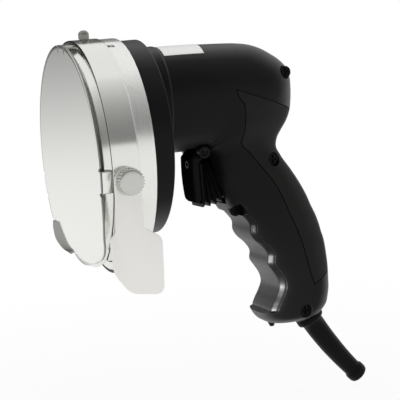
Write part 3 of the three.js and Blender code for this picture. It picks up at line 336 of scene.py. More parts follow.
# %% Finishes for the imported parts
SCREWS = ["housing_screw_rear", "strap_screw", "housing_screw_front", "housing_screw_low"]
by_finish = {
    worn_steel: ["guide_pin_top", "guide_pin_far"],
    black_steel_and_painted_rim_shade: ["trigger_pin", *SCREWS, *(f"flange_screw_{i}" for i in (1, 2, 3, 4))],
    copper_wire: ["armature_winding", "field_coil_left", "field_coil_right"],
    core_iron: ["armature_core", "stator"],
    holder_brass: ["commutator", "brush_holder_left", "brush_holder_right"],
    brush_carbon: ["carbon_brush_left", "carbon_brush_right", "switch_body"],
    shell_plastic: ["fan", "grip_foot", "flange", "housing_left", "housing_right"],
    strap_plastic: ["back_strap"],
    trigger_plastic: ["trigger", "switch_plunger"],
    boot_rubber: ["trigger_boot", "cord_sleeve"],
    cast_metal: ["gear_case"],
    ring_steel: ["guard_ring"],
    plate_steel: ["guide_plate"],
    deflector_steel: ["deflector"],
    blade_steel: ["blade"],
}
finish_of = {name: material for material, names in by_finish.items() for name in names}
for name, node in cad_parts.items():
    node.data.materials.clear()
    node.data.materials.append(finish_of.get(name, turned_steel))
print("finishes given to", len(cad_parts), "parts,", len(finish_of), "of them by name")

# %% [markdown]
# The guide plate is a flat disc with a lower lip that leans back. Its middle surface is worked out from the
# angle and the share of the way from the centre to the rim, and thickness is added afterwards. The rim is a
# list of points; the relief notches beside each tab are dips in its radius.

# %% Guide plate
PLATE_R, TAB_W = 52.0, 9.5
TAB_ANGLES = np.array([-8.5, 85.0, -164.0])
CUT_FAR, CUT_NEAR = (42.4, -133.5), (45.2, -114.5)
NOTCH, NOTCH_DEEP = 0.7, 2.0


def around(radius, degrees):
    """Point of the Y and Z plane at an angle that is measured up from the near side."""
    turn = np.radians(degrees)
    return np.stack([-radius * np.cos(turn), radius * np.sin(turn)], -1)


def plate_rim():
    """Rim as points: a long arc, a straight cut that bares the blade, a shallow curve and a corner."""
    arc = around(PLATE_R, np.linspace(-16.7, 215, 400))
    lowest, corner_start = around(51.2, -81), around(53.7, -54)
    corner, corner_end = around(62.0, -41.4), around(57.1, -34.9)
    return np.concatenate([arc, around(*CUT_FAR)[None], bend(around(*CUT_NEAR), lowest, corner_start, 60),
                           bend(corner_start, corner, corner_end, 30)])


def lip_lean(z, line=-31, slope=4, soft=0.7):
    """How far the lip stands back: nothing above a bend line, and below it a slope in degrees, with a soft
    change from one to the other."""
    return np.tan(np.radians(slope)) * np.logaddexp(0, (line - z) / soft) * soft


def plate_surface(turns=960, rings=30):
    """Middle surface: centre to rim along each angle, leaning back below the lip's bend line."""
    rim = plate_rim()
    angle = np.arctan2(rim[:, 1], -rim[:, 0])
    order = np.argsort(angle)
    turn = np.linspace(-np.pi, np.pi, turns, endpoint=False)
    close = np.interp(turn, angle[order], np.linalg.norm(rim, axis=1)[order], period=2 * np.pi)
    notch = np.radians(TAB_ANGLES)[:, None] + np.array([-1, 1]) * (TAB_W / 2 + NOTCH) / PLATE_R
    off = np.abs((turn[:, None] - notch.ravel() + np.pi) % (2 * np.pi) - np.pi).min(1)
    close = np.where(off < NOTCH / PLATE_R, PLATE_R - NOTCH_DEEP, close)
    share = np.linspace(0, 1, rings)[:, None]
    y, z = -share * close * np.cos(turn), share * close * np.sin(turn)
    return np.stack([0.5 + lip_lean(z), y, z], -1)


plate = thickened(solid("guide_plate_sheet", plate_surface(), caps=False), 0.9, rim=1)
placed(plate, "guide", "stainless", plate_steel, "guide_plate")
# The plate's rim takes the grey edge finish: partly a rough sheared edge, partly painted shade that draws a
# dark line round the plate
plate.data.materials.append(edge_grey_and_painted_shade)

# %% [markdown]
# Along the straight cut lies a small flap, bent a little out of the plate's plane. Its darker grey finish is
# painted shade: the tone the bent flap shows as it faces away from the light. Its surface runs straight
# from one curve, just behind the cut, to another, its own rim.

# %% Guide plate flap
FLAP_FRONT, FLAP_BACK = 0.45, 0.5


def flap_surface(along_count=40, wide_count=12):
    """Middle surface: each point is a share of the way from a curve along the cut to a curve along the
    rim, and comes forward by the same share."""
    out = np.linspace(0, 1, wide_count)[:, None, None]
    cut = bend(around(43.0, -134.5), around(43.5, -120), around(46.2, -108), along_count)
    rim_rows = np.array([(42.5, -31.2), (43.4, -35.0), (39.5, -40.2), (27.6, -43.6), (15.6, -44.6)])
    rim = smooth_rows(np.array([0, 0.28, 0.55, 0.78, 1]), rim_rows, np.linspace(0, 1, along_count))
    flat = cut * (1 - out) + rim * out
    return np.concatenate([FLAP_FRONT + (lip_lean(flat[..., 1:]) + FLAP_BACK) * (1 - out), flat], -1)


flap = thickened(solid("guide_plate_flap", flap_surface(), wrap_cols=False, caps=False), 0.8)
# The flap's grey finish is painted shade, for a flap that faces away from the light
placed(flap, "guide", "stainless", edge_grey_and_painted_shade, "guide_plate")

# %% [markdown]
# Three tabs bend back from the rim. Each is a path that runs out to the rim, turns through a bend and
# runs back along the blade's axis, with a slot that lets the plate slide on its pins. Holes in sheet are
# made by leaving faces out of the grid, before the sheet gets its thickness.

# %% Guide plate tabs
TAB_MID, TAB_END, TAB_BEND = 51.5, 17.4, 1.2
SLOT_START, SLOT_END, SLOT_HALF = 8.9, 16.5, 2.3


def tab_surface(degrees, along_count=60, wide_count=19):
    """Middle surface of one tab, a path of (place along X, radius) carried sideways round the axis, and
    which of its faces have their middles in the slot."""
    turn = np.linspace(0, np.pi / 2, 12)
    start = 0.6 + TAB_BEND - TAB_BEND * np.cos(turn), TAB_MID - TAB_BEND + TAB_BEND * np.sin(turn)
    back = np.linspace(2.2, TAB_END, along_count), np.full(along_count, TAB_MID)
    path = np.concatenate([[[0.6, 49.2]], np.stack(start, 1), np.stack(back, 1)])
    wide = np.linspace(-TAB_W / 2, TAB_W / 2, wide_count)
    flat = around(path[:, 1:], degrees + np.degrees(wide / TAB_MID))
    x = path[:, :1]
    along, aside = (x[:-1] + x[1:]) / 2, np.abs(wide[:-1] + wide[1:]) / 2
    slot = (along > SLOT_START) & (along < SLOT_END) & (aside < SLOT_HALF)
    return np.concatenate([(x + 0 * wide)[..., None], flat], -1), slot


def pierced(made, gone):
    """Leaves out the faces that are marked as gone."""
    shape = bmesh.new()
    shape.from_mesh(made.data)
    shape.faces.ensure_lookup_table()
    bmesh.ops.delete(shape, geom=[shape.faces[i] for i in np.flatnonzero(gone)], context="FACES")
    shape.to_mesh(made.data)
    shape.free()
    return made


for degrees, place in zip(TAB_ANGLES, ("near", "top", "far")):
    points, slot = tab_surface(degrees)
    tab = pierced(solid("guide_plate_tab_" + place, points, wrap_cols=False, caps=False), slot)
    placed(thickened(tab, 1.0), "guide", "stainless", plate_steel, "guide_plate")

# %% [markdown]
# The guard ring is a band of sheet round the blade. It is a cylinder's surface with holes for the pins, and
# cut away below, where the blade has to stand bare to cut. Its thickness is added afterwards.

# %% Guard ring
RING_X, RING_END, RING_MID = 5.4, 17.4, 52.9
PIN_X, HOLE_R = 11.2, 2.25
BARE_MIDDLE, BARE_HALF, RIM_LEFT = -92, 37, 2.6
x = np.linspace(RING_X, RING_END, 41)[:, None, None] + np.zeros((720, 1))
flat = np.zeros((41, 1, 1)) + around(RING_MID, np.linspace(-180, 180, 720, endpoint=False))
ring = solid("guard_ring_band", np.concatenate([x, flat], -1), caps=False)
centre = np.empty(3 * len(ring.data.polygons), np.float32)
ring.data.polygons.foreach_get("center", centre)
x, y, z = centre.astype(float).reshape(-1, 3).T / MM
angle = np.degrees(np.arctan2(z, -y))
gone = (np.abs(angle - BARE_MIDDLE) < BARE_HALF) & (x < RING_END - RIM_LEFT)
for degrees in TAB_ANGLES:
    gone |= np.hypot(np.radians(angle - degrees) * RING_MID, x - PIN_X) < HOLE_R
thickened(pierced(ring, gone), 1.2, rim=1)
placed(ring, "housing", "stainless", ring_steel, "guard_ring")
# The ring's rims, at both ends, round the bare cut and round the pin holes, are painted black: painted shade
# for the dark gaps beside the band
ring.data.materials.append(black_steel_and_painted_rim_shade)

# %% [markdown]
# The blade is a dished disc, so its profile is carried once round the axis. Its bevel is ground to a fine
# edge, and that corner is barely softened.

# %% Blade
blade_profile = softened([(6.0, 6.1), (6.0, 41), (3.0, 48.6), (6.6, 50), (7.6, 49.4), (7.6, 6.1)],
                         [0.2, 1.5, 0.06, 0.3, 0.3, 0.2])
placed(turned("blade_disc", blade_profile, 0, 256), "blade_unit", "blade_steel", blade_steel, "blade")

# %% [markdown]
# The clamp knob is turned and knurled. Its radius ripples round the rim where the knurl is, and is plain
# on the face and on the stud behind it. The guide pins are small domed posts that stand out from the ring.

# %% Knob and pins
KNOB_Y, KNOB_Z, KNURL_DEEP = -55.6, -7.612, 0.55


def knob_surface(segments=288, ribs=24):
    """Profile of (depth along -Y, radius, share of knurl) carried round the knob's axis with a ripple."""
    rows = np.array([(5.8, 0, 0), (5.78, 2.0, 0), (5.7, 4.4, 0), (5.55, 4.9, 0), (5.2, 5.45, 0.3),
                     (4.9, 5.8, 1), (4.5, 5.9, 1), (1.2, 5.9, 1), (0.7, 5.8, 1), (0.3, 5.45, 0.3),
                     (0.05, 4.9, 0), (0, 2.1, 0), (-0.1, 2.0, 0), (-8.1, 2.0, 0), (-8.1, 0, 0)])
    turn = once_round(segments)
    radius = rows[:, 1:2] - KNURL_DEEP * rows[:, 2:] * (1 - np.cos(ribs * turn)) / 2
    return np.stack([PIN_X + radius * np.cos(turn), KNOB_Y - rows[:, :1] + 0 * turn,
                     KNOB_Z + radius * np.sin(turn)], -1)


def pin_surface(degrees, segments=48):
    """A domed profile of (distance from the blade's axis, radius) carried round an axis at that angle."""
    dome = np.linspace(0, np.pi / 2, 10)
    head = np.stack([55.9 + 1.88 * np.sin(dome), 2.4 * np.cos(dome)], 1)
    rows = np.concatenate([[(50.4, 0), (50.4, 1.8), (53.8, 1.8), (53.8, 2.3), (53.95, 2.4)], head])
    turn = once_round(segments)[:, None]
    out, side = np.array([0, *around(1, degrees)]), np.array([0, *around(1, degrees + 90)])
    spread = np.cos(turn) * np.array([1, 0, 0]) + np.sin(turn) * side
    return np.array([PIN_X, 0, 0]) + rows[:, :1, None] * out + rows[:, 1:, None] * spread


placed(solid("clamp_knob_turned", knob_surface(), sharp=40), "knob", "steel", turned_steel, "clamp_knob")
for degrees, place in zip(TAB_ANGLES[1:], ("top", "far")):
    placed(solid("guide_pin_turned_" + place, pin_surface(degrees)), "housing", "steel", worn_steel,
           "guide_pin_" + place)

# %% [markdown]
# The deflector is a stamped tongue that hangs from the knob. Its outline is a list of curves, measured from
# the knob's axis, and its edges are rounded as a tumbled stamping's are.

# %% Deflector
DEFLECTOR_OUT, DEFLECTOR_IN, DEFLECTOR_EDGE = -55.3, -53.8, 0.35
top = np.linspace(0, np.pi, 30)
tongue = np.concatenate([
    6.0 * np.stack([np.cos(top), np.sin(top)], 1),
    [(-7.6, -19.4)], bend((-7.6, -19.6), (-8, -22), (-10, -23.2))[1:],
    bend((-10, -23.2), (-10.6, -25), (-9.8, -36.5))[1:], bend((-9.8, -36.5), (-9.6, -39), (-7.9, -41.4))[1:],
    bend((-4.9, -45.6), (-2.6, -48.4), (0.6, -48.6)), bend((7.6, -49.6), (11.6, -50), (11.9, -45.8)),
    bend((12.8, -27.6), (12.6, -25.4), (11, -24.3)), [(4.9, -20.2)],
])
tongue += np.array([PIN_X, KNOB_Z])
tongue = slab("deflector_tongue", tongue, DEFLECTOR_OUT, DEFLECTOR_IN, DEFLECTOR_EDGE)
placed(tongue, "deflector", "stainless", deflector_steel, "deflector")

# %% [markdown]
# The gear case is a casting with pockets for the tabs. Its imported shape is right, so a copy keeps it, with
# its triangles merged into flat faces, and a bevel rounds its edges.

# %% Gear case
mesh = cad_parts["gear_case"].data.copy()
shape = bmesh.new()
shape.from_mesh(mesh)
bmesh.ops.remove_doubles(shape, verts=shape.verts, dist=1e-6)
bmesh.ops.dissolve_limit(shape, angle_limit=np.radians(0.6), verts=shape.verts, edges=shape.edges)
shape.to_mesh(mesh)
shape.free()
mesh.shade_smooth()
mesh.set_sharp_from_angle(angle=np.radians(30))
casting = added("gear_case_casting", mesh)
ease = casting.modifiers.new("eased edges", "BEVEL")
ease.width, ease.segments, ease.angle_limit = 0.35 * MM, 2, np.radians(35)
placed(casting, "housing", "casting", cast_metal, "gear_case")

# %% [markdown]
# Some shapes need holes and parting lines. A hole is a simple solid that is taken away, and each step is
# applied at once, so that nothing is left to be worked out later.

# %% Carving
def carved(made, tool, how):
    """One boolean step between two closed solids. The tool is used up."""
    step = made.modifiers.new("carve", "BOOLEAN")
    step.operation, step.object, step.solver = how, tool, "MANIFOLD"
    bpy.context.view_layer.update()
    result = bpy.data.meshes.new_from_object(made.evaluated_get(bpy.context.evaluated_depsgraph_get()))
    made.modifiers.clear()
    made.data = result
    bpy.data.objects.remove(tool)
    return made


def rod(start, end, radius, segments=48):
    """A straight round bar between two points in millimetres."""
    start, end = np.array(start, float), np.array(end, float)
    way = (end - start) / np.linalg.norm(end - start)
    side = np.cross(way, (0, 0, 1) if abs(way[2]) < 0.9 else (1, 0, 0))
    side /= np.linalg.norm(side)
    turn = once_round(segments)[:, None]
    ring = radius * (np.cos(turn) * side + np.sin(turn) * np.cross(way, side))
    return solid("tool", np.stack([start + ring, end + ring]))


def prism(outline, low, high):
    """A straight prism from an outline in X and Z, between two places along Y."""
    flat = np.asarray(outline, float)
    ends = [np.stack([flat[:, 0], np.full(len(flat), y), flat[:, 1]], 1) for y in (low, high)]
    return solid("tool", np.stack(ends))


# %% [markdown]
# The flange is the black cover behind the gear case, turned about an axis a little above the blade's. It has
# a broad rounded rear edge, four screws in recesses and, higher up, a hole for the motor's shaft.

# %% Flange
FLANGE_Z, MOTOR_Z = 7.0, 22.5
SCREW_OUT, HEAD_R, SHANK_R, SHAFT_R = 38, 3.2, 1.8, 6.4
flange_profile = softened([(26.2, 33), (26.2, 44.5), (36.6, 44.5), (36.6, 0), (33.4, 0), (33.4, 33)],
                          [0.3, 0.6, 0.7, 0, 0, 0.6], 10)
flange = turned("flange_cover", flange_profile, FLANGE_Z, 224)
for turn in np.radians([14, 166, -52, -128]):
    y, z = SCREW_OUT * np.cos(turn), FLANGE_Z + SCREW_OUT * np.sin(turn)
    carved(flange, rod((32.8, y, z), (40, y, z), HEAD_R), "DIFFERENCE")
    carved(flange, rod((20, y, z), (34, y, z), SHANK_R, 24), "DIFFERENCE")
carved(flange, rod((20, 0, MOTOR_Z), (40, 0, MOTOR_Z), SHAFT_R), "DIFFERENCE")
tidy_mesh(flange.data, 32)
placed(flange, "housing", "black_plastic", shell_plastic, "flange")

# %% [markdown]
# The housing is one flowing form: a round barrel that turns down into a grip with finger grooves. It is an
# oval carried along a bent path. Each row of the first table gives the oval's inner edge and outer edge,
# seen from the side, its half width and how square it is; the rows fan round the corner above the trigger.
# The second table goes down the grip, by shares of its length.

# %% Housing tables
GRIP_X, GRIP_LEN, GRIP_HALF, GRIP_SQUARE = 62.6, 88.6, 17, 2.6
bent_rows = np.array([
    (36.1, -2.0, 36.1, 47.0, 24.5, 2.15), (46.0, -2.0, 46.0, 47.2, 24.5, 2.15),
    (54.5, -1.9, 55.0, 47.1, 24.4, 2.15), (59.0, -1.8, 63.0, 46.9, 24.2, 2.15),
    (60.3, -1.8, 70.0, 46.6, 24.1, 2.15), (60.8, -1.85, 77.0, 46.3, 23.9, 2.15),
    (61.1, -1.9, 84.0, 45.8, 23.8, 2.15), (61.3, -1.95, 90.0, 44.8, 23.6, 2.2),
    (61.45, -2.0, 95.2, 42.9, 23.5, 2.2), (61.6, -2.05, 100.1, 39.9, 23.3, 2.25),
    (61.7, -2.1, 104.2, 36.8, 23.0, 2.3), (61.8, -2.2, 107.2, 33.3, 22.6, 2.3),
    (61.9, -2.3, 108.5, 29.0, 22.1, 2.35), (62.0, -2.4, 108.6, 24.0, 21.4, 2.4),
    (62.1, -2.5, 108.2, 18.5, 20.5, 2.45), (62.2, -2.6, 107.4, 13.4, 19.3, 2.5),
    (62.3, -2.75, 105.4, 8.6, 18.0, 2.55), (62.4, -2.95, 102.5, 4.4, 17.0, 2.6),
    (62.5, -3.3, 100.2, 0.8, 16.4, 2.6), (62.9, -4.4, 99.2, -3.2, 16.2, 2.6),
])
grip_rows = np.array([
    (0.09, 1.9, 38.5, 0.96), (0.17, 4.1, 43, 0.98), (0.25, 6.4, 47.1, 0.99), (0.33, 8.6, 50.4, 1),
    (0.375, 10.9, 51.8, 1), (0.43, 14.3, 53.8, 1), (0.485, 14.6, 55.3, 1), (0.52, 16.4, 55.9, 1),
    (0.555, 19.5, 56.7, 1), (0.6, 22.1, 57.2, 1), (0.655, 21.9, 57.6, 1), (0.695, 24, 57.7, 1),
    (0.735, 26, 57.6, 1), (0.78, 26.7, 57.4, 1.01), (0.825, 25.1, 57.2, 1.02), (0.87, 22.7, 56.4, 1.03),
    (0.905, 21.4, 55.5, 1.02), (0.93, 21.8, 53.8, 1), (0.96, 23.2, 50.6, 0.92), (0.982, 26, 45.6, 0.7),
])
down, front, rear, wide = grip_rows.T
fall = -GRIP_LEN * down
# The finger side of the grip is squarer than its rear, so each row ends with a second squareness
crisp = np.interp(down, [0.05, 0.15, 0.3, 0.43, 0.9, 0.96], [2.6, 4.5, 4.5, 3.6, 3.6, 2.6])
straight = np.stack([GRIP_X + front, fall, GRIP_X + rear, fall, GRIP_HALF * wide,
                     np.full(len(down), GRIP_SQUARE), crisp], 1)
housing_rows = np.concatenate([np.hstack([bent_rows, bent_rows[:, 5:]]), straight])
moves = np.diff(housing_rows[:, :4], axis=0)
row_keys = np.concatenate([[0], np.cumsum(np.linalg.norm(moves, axis=1) / np.sqrt(2))])
print("housing table has", len(housing_rows), "rows over", row_keys[-1].round(1), "mm")

# %% [markdown]
# A squared oval lies between an ellipse and a rectangle. Carried through the smoothed rows it gives the
# whole outer skin, with a low collar where the barrel meets the flange. The same function with an inset
# gives the cavity, which stays clear of the finger grooves.

# %% Housing form
COLLAR_END, COLLAR_SLOPE, COLLAR_HIGH = 44.3, 0.8, 0.6
WALL, GROOVE_WALL, GROOVE_ROW, HEEL_WALL = 2.4, 3.0, 24, 4


def housing_skin(at, turns, inset=0.0, rows=housing_rows):
    """Squared ovals along the bent path. At turn 0 a point is on the outer edge, at half a turn on the
    inner edge, and it stands out sideways in between. Inset moves the whole skin inwards."""
    inner_x, inner_z, outer_x, outer_z, half, square, crisp = smooth_rows(row_keys, rows, at).T
    way = np.stack([outer_x - inner_x, outer_z - inner_z], 1)
    long = np.linalg.norm(way, axis=1)
    way = way / long[:, None]
    collar = COLLAR_HIGH * np.clip((COLLAR_END - outer_x) / COLLAR_SLOPE, 0, 1) * (outer_z > 40)
    a, b = long / 2 + collar - inset, half + collar - inset
    c, s = np.cos(turns), np.sin(turns)
    power = 2 / np.where(c < 0, crisp[:, None], square[:, None])
    reach = a[:, None] * np.sign(c) * np.abs(c) ** power
    aside = b[:, None] * np.sign(s) * np.abs(s) ** power
    middle_x, middle_z = (inner_x + outer_x)[:, None] / 2, (inner_z + outer_z)[:, None] / 2
    return np.stack([middle_x + way[:, :1] * reach, aside, middle_z + way[:, 1:] * reach], -1)


# Extra rows keep the collar's step crisp
steps = np.unique(np.concatenate([np.linspace(0, row_keys[-1], 230), [7.4, 7.6, 8.0, 8.2]]))
outer = solid("housing_outer", housing_skin(steps, once_round(160)))
cavity_rows = housing_rows.copy()
cavity_rows[GROOVE_ROW:, 0] += GROOVE_WALL
cavity = housing_skin(np.linspace(0, row_keys[-1] - HEEL_WALL, 90), once_round(72), WALL, cavity_rows)
cavity = np.concatenate([cavity[:1] - np.array([2.0, 0, 0]), cavity])
print("housing form has", len(outer.data.polygons), "faces")

# %% [markdown]
# The finger side is cut to a wavy flat that follows the grooves, a little way into the form, and its two
# edges are eased. The cutter is a grid too, with rows down the grip and columns across it.

# %% Finger grooves
FLAT_IN, END_OUT, END_PAST = 3.0, 4, 1.8
edge_y = np.array([11.6, 12.0, 12.3, 12.7, 14.1, 14.4, 14.6, 60])
edge_x = np.array([0, 0.05, 0.17, 0.45, 1.8, 2.2, 2.7, 2.7])


def finger_cutter():
    """Rows follow the grooved front, moved in by the flat's depth, and leave the form past both ends.
    Columns go from one side to the other, deeper by the easing's table, and close far out in front."""
    grooved = (down > 0.34) & (down < 0.91)
    z = np.linspace(fall[grooved][0], fall[grooved][-1], 120)
    x = smooth_rows(-fall, straight[:, :1], -z)[:, 0] + FLAT_IN
    z = np.concatenate([z[:1] + END_PAST, z, z[-1:] - END_PAST])[:, None]
    x = np.concatenate([x[:1] - END_OUT, x, x[-1:] - END_OUT])[:, None]
    y = np.concatenate([-edge_y[::-1], edge_y])
    deeper = np.concatenate([edge_x[::-1], edge_x])
    x = np.concatenate([np.zeros_like(x), x + deeper, np.zeros_like(x)], 1)
    y = np.concatenate([y[:1], y, y[-1:]])
    return solid("tool", np.stack([x, y + 0 * x, z + 0 * x], -1))


carved(outer, finger_cutter(), "DIFFERENCE")
print("grooved form has", len(outer.data.polygons), "faces")

# %% [markdown]
# The form becomes a hollow shell with screw posts, two lugs for the trigger's pin and a socket for the
# cord's sleeve. The posts are long bars that the form itself cuts to length.

# %% Housing shell
PIVOT = np.array([61.0, -2.6])
HEEL = np.array([110.0, 0, -85.99])
SLEEVE_TURN = -60.66
POST_R, SOCKET_R, PAST_SIDE = 3.7, 6.8, 40
LUG_IN, LUG_OUT, LUG_R = 8.5, 12.6, 2.7
heel_way = np.array([np.cos(np.radians(SLEEVE_TURN)), 0, np.sin(np.radians(SLEEVE_TURN))])


def screw_place(name):
    """Axis and head depth of a screw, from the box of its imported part."""
    low, high = (np.array(corner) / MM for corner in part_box(name))
    return (low[0] + high[0]) / 2, (low[2] + high[2]) / 2, low[1]


posts = None
for name in SCREWS:
    x, z, head = screw_place(name)
    post = rod((x, -PAST_SIDE, z), (x, PAST_SIDE, z), POST_R)
    posts = post if posts is None else carved(posts, post, "UNION")
carved(posts, added("tool", outer.data.copy()), "INTERSECT")
shell = carved(outer, solid("tool", cavity), "DIFFERENCE")
carved(shell, posts, "UNION")
for side in (-1, 1):
    lug = rod((PIVOT[0], side * LUG_IN, PIVOT[1]), (PIVOT[0], side * LUG_OUT, PIVOT[1]), LUG_R)
    carved(shell, lug, "UNION")
carved(shell, rod(HEEL - 4 * heel_way, HEEL + 0.6 * heel_way, SOCKET_R), "UNION")
print("housing shell has", len(shell.data.polygons), "faces")

# %% [markdown]
# Then the openings are cut: the trigger's mouth, whose lower edge is an arc about the trigger's pin, the
# pin's hole, the sleeve's hole and a recess with a shank hole for each screw.

# %% Housing openings
MOUTH_R, MOUTH_HALF, PIN_HOLE_R, SLEEVE_HOLE_R = 27, 8.9, 1.5, 4.7
HEAD_DEEP, SHANK_END = 2.3, 12
reach = np.radians(np.linspace(-54.7, -105, 24))
arc = PIVOT + MOUTH_R * np.stack([np.cos(reach), np.sin(reach)], 1)
mouth = prism(np.concatenate([[(54, 0.8), (76.6, 0.8)], arc]), -MOUTH_HALF, MOUTH_HALF)
carved(shell, mouth, "DIFFERENCE")
pin_hole = rod((PIVOT[0], -PAST_SIDE, PIVOT[1]), (PIVOT[0], PAST_SIDE, PIVOT[1]), PIN_HOLE_R)
carved(shell, pin_hole, "DIFFERENCE")
carved(shell, rod(HEEL - 6 * heel_way, HEEL + 3 * heel_way, SLEEVE_HOLE_R), "DIFFERENCE")
for name in SCREWS:
    x, z, head = screw_place(name)
    carved(shell, rod((x, -60, z), (x, head + HEAD_DEEP, z), HEAD_R), "DIFFERENCE")
    carved(shell, rod((x, head + 2, z), (x, SHANK_END, z), SHANK_R, 24), "DIFFERENCE")
print("opened shell has", len(shell.data.polygons), "faces")

# %% [markdown]
# The shell parts along the middle plane into a left and a right half, and along a flowing seam into the
# back strap. The seam is a line seen from the side; moved a little to each side of itself, it leaves a
# fine gap that reads as a dark line. A lip of the strap runs under the shell, so no light gets through.

# %% Seam
GAP, LIP_IN = 0.4, 1.3
seam_top = [(12.4, 25.1), (13.2, 22.1), (15.7, 17.9), (16.2, 13.5), (15.8, 5.5), (15.2, 0)]
# Down the grip a height is a share of the grip's length
seam_low = [(19.4, 0.059), (22.8, 0.112), (30.3, 0.234), (36.6, 0.407), (40.4, 0.526), (43, 0.652),
            (44.6, 0.74), (45.6, 0.786)]
seam_points = np.concatenate([seam_top, np.array(seam_low) * (1, -GRIP_LEN)]) + (GRIP_X, 0)
seam_keys = np.concatenate([[0], np.cumsum(np.linalg.norm(np.diff(seam_points, axis=0), axis=1))])
seam = smooth_rows(seam_keys, seam_points, np.linspace(0, seam_keys[-1], 70))
seam = np.concatenate([[(119.1, 7.9)], seam, [(138.5, -0.62 * GRIP_LEN)]])


def behind_seam(shift):
    """Everything behind the seam, with the seam moved sideways by a mitred offset."""
    way = np.diff(seam, axis=0)
    normal = np.stack([-way[:, 1], way[:, 0]], 1) / np.linalg.norm(way, axis=1)[:, None]
    before, after = np.vstack([normal[:1], normal]), np.vstack([normal, normal[-1:]])
    middle = before + after
    middle /= np.linalg.norm(middle, axis=1)[:, None]
    moved = seam + middle * (shift / np.sum(middle * before, 1))[:, None]
    return prism(np.concatenate([moved, [(170, moved[-1, 1]), (170, moved[0, 1])]]), -60, 60)


def inner_skin():
    """The form moved inwards by half a wall, so that a lip can run under the edge beside it."""
    return solid("tool", housing_skin(steps, once_round(160), LIP_IN))


print("seam is", seam_keys[-1].round(1), "mm long")

# %% [markdown]
# Both sides of the seam are cut from copies of the one shell, so they fit each other. The two halves stand
# a hair apart, which leaves each half closed and draws the middle line.

# %% Parting lines
HAIR, LIP_REACH, LIP_ROOM = 0.04, 0.9, 1.2
ALL_ROUND = [(0, -200), (300, -200), (300, 200), (0, 200)]
strap = carved(added("back_strap_cover", shell.data.copy()), behind_seam(GAP / 2), "INTERSECT")
lip = carved(added("tool", shell.data.copy()), inner_skin(), "INTERSECT")
carved(strap, carved(lip, behind_seam(-LIP_REACH), "INTERSECT"), "UNION")
carved(shell, behind_seam(-GAP / 2), "DIFFERENCE")
carved(shell, carved(inner_skin(), behind_seam(-LIP_ROOM), "INTERSECT"), "DIFFERENCE")
left = carved(added("housing_left_half", shell.data.copy()), prism(ALL_ROUND, -90, -HAIR), "INTERSECT")
right = carved(added("housing_right_half", shell.data.copy()), prism(ALL_ROUND, HAIR, 90), "INTERSECT")
bpy.data.objects.remove(shell)
for made, node, slot, material in ((left, "housing_left", "black_plastic", shell_plastic),
                                   (right, "housing_right", "black_plastic", shell_plastic),
                                   (strap, "back_strap", "strap_plastic", strap_plastic)):
    tidy_mesh(made.data, 35)
    placed(made, "housing", slot, material, node)

# %% [markdown]
# A blank label lies on the barrel's top, just behind the collar. It is a patch of the same skin, a little
# way outside it, so it follows the barrel's curve exactly.

# %% Label
label_skin = housing_skin(np.linspace(8.9, 26.3, 40), np.linspace(-0.62, 0.42, 40), -0.16)
label = thickened(solid("label_blank", label_skin, wrap_cols=False, caps=False), 0.15, side=-1)
placed(label, "housing", "black_plastic", label_film)

# %% [markdown]
# The trigger is a moulded lever with soft edges, drawn as an outline about its pin. Its front face carries
# a plain printed 0, which is a thin ring that leans with the face.

# %% Trigger
TRIGGER_HALF, TRIGGER_EDGE = 8.5, 1.3
lever = np.concatenate([
    [(-2.6, 1.2), (-3.4, -0.4)], bend((-5.2, -2.2), (-6, -11.5), (-5, -20.6), 20),
    bend((-5, -20.6), (-4.5, -23.6), (-1.6, -24), 10)[1:], [(-1.4, -5), (2, -2)],
])
lever = PIVOT + softened(lever, 0.8, 5)
lever = slab("trigger_lever", lever, -TRIGGER_HALF, TRIGGER_HALF, TRIGGER_EDGE, 8)
placed(lever, "trigger_unit", "trigger_plastic", trigger_plastic, "trigger")


def oval_ring(name, centre, wide, tall, line, depth, lean):
    """A flat raised ring on a face that looks along -X: an oval of two half widths carried round with a
    small rectangular section, leaning with the face by so much along X for each millimetre up."""
    turn = once_round(48)
    section = np.array([(0, -1), (1, -1), (1, 1), (0, 1)])
    out = section[:, :1] * line
    y, z = (wide + out) * np.cos(turn), (tall + out) * np.sin(turn)
    x = lean * z - section[:, 1:] * depth
    return solid(name, np.array(centre) + np.stack([x, y, z], -1), wrap_rows=True)


mark = oval_ring("trigger_mark", (55.57, -1.6, -8.2), 1.7, 1.15, 0.45, 0.06, 0.05)
placed(mark, "trigger_unit", "trigger_plastic", mark_paint)

# %% [markdown]
# Behind the trigger a pleated rubber boot goes into the grip, between the housing and the trigger; the real
# one folds as the trigger is pulled. Its wall is a rounded rectangle carried round the trigger's pin, out
# along the pleats and back along a plain lining, and its first row lies against the lever.

# %% Boot
PLEATS, BOOT_FRONT, BOOT_REAR, LEVER_BACK = 4, -2, 26, 1.42


def boot_wall(inner, outer, half, angles, round_by):
    """Rounded rectangle of (distance from the pivot, place along Y) carried round the trigger's pivot; its
    outer side and its half width follow the pleats."""
    unit = softened([(-1, -1), (1, -1), (1, 1), (-1, 1)], round_by, 6)
    inner, outer = np.broadcast_to(inner, len(angles))[:, None], np.broadcast_to(outer, len(angles))[:, None]
    r = (outer + inner) / 2 + (outer - inner) / 2 * unit[None, :, 0]
    y = np.broadcast_to(half, len(angles))[:, None] * unit[None, :, 1]
    turn = np.radians(angles)[:, None]
    return np.stack([PIVOT[0] + r * np.sin(turn), y, PIVOT[1] - r * np.cos(turn)], -1)


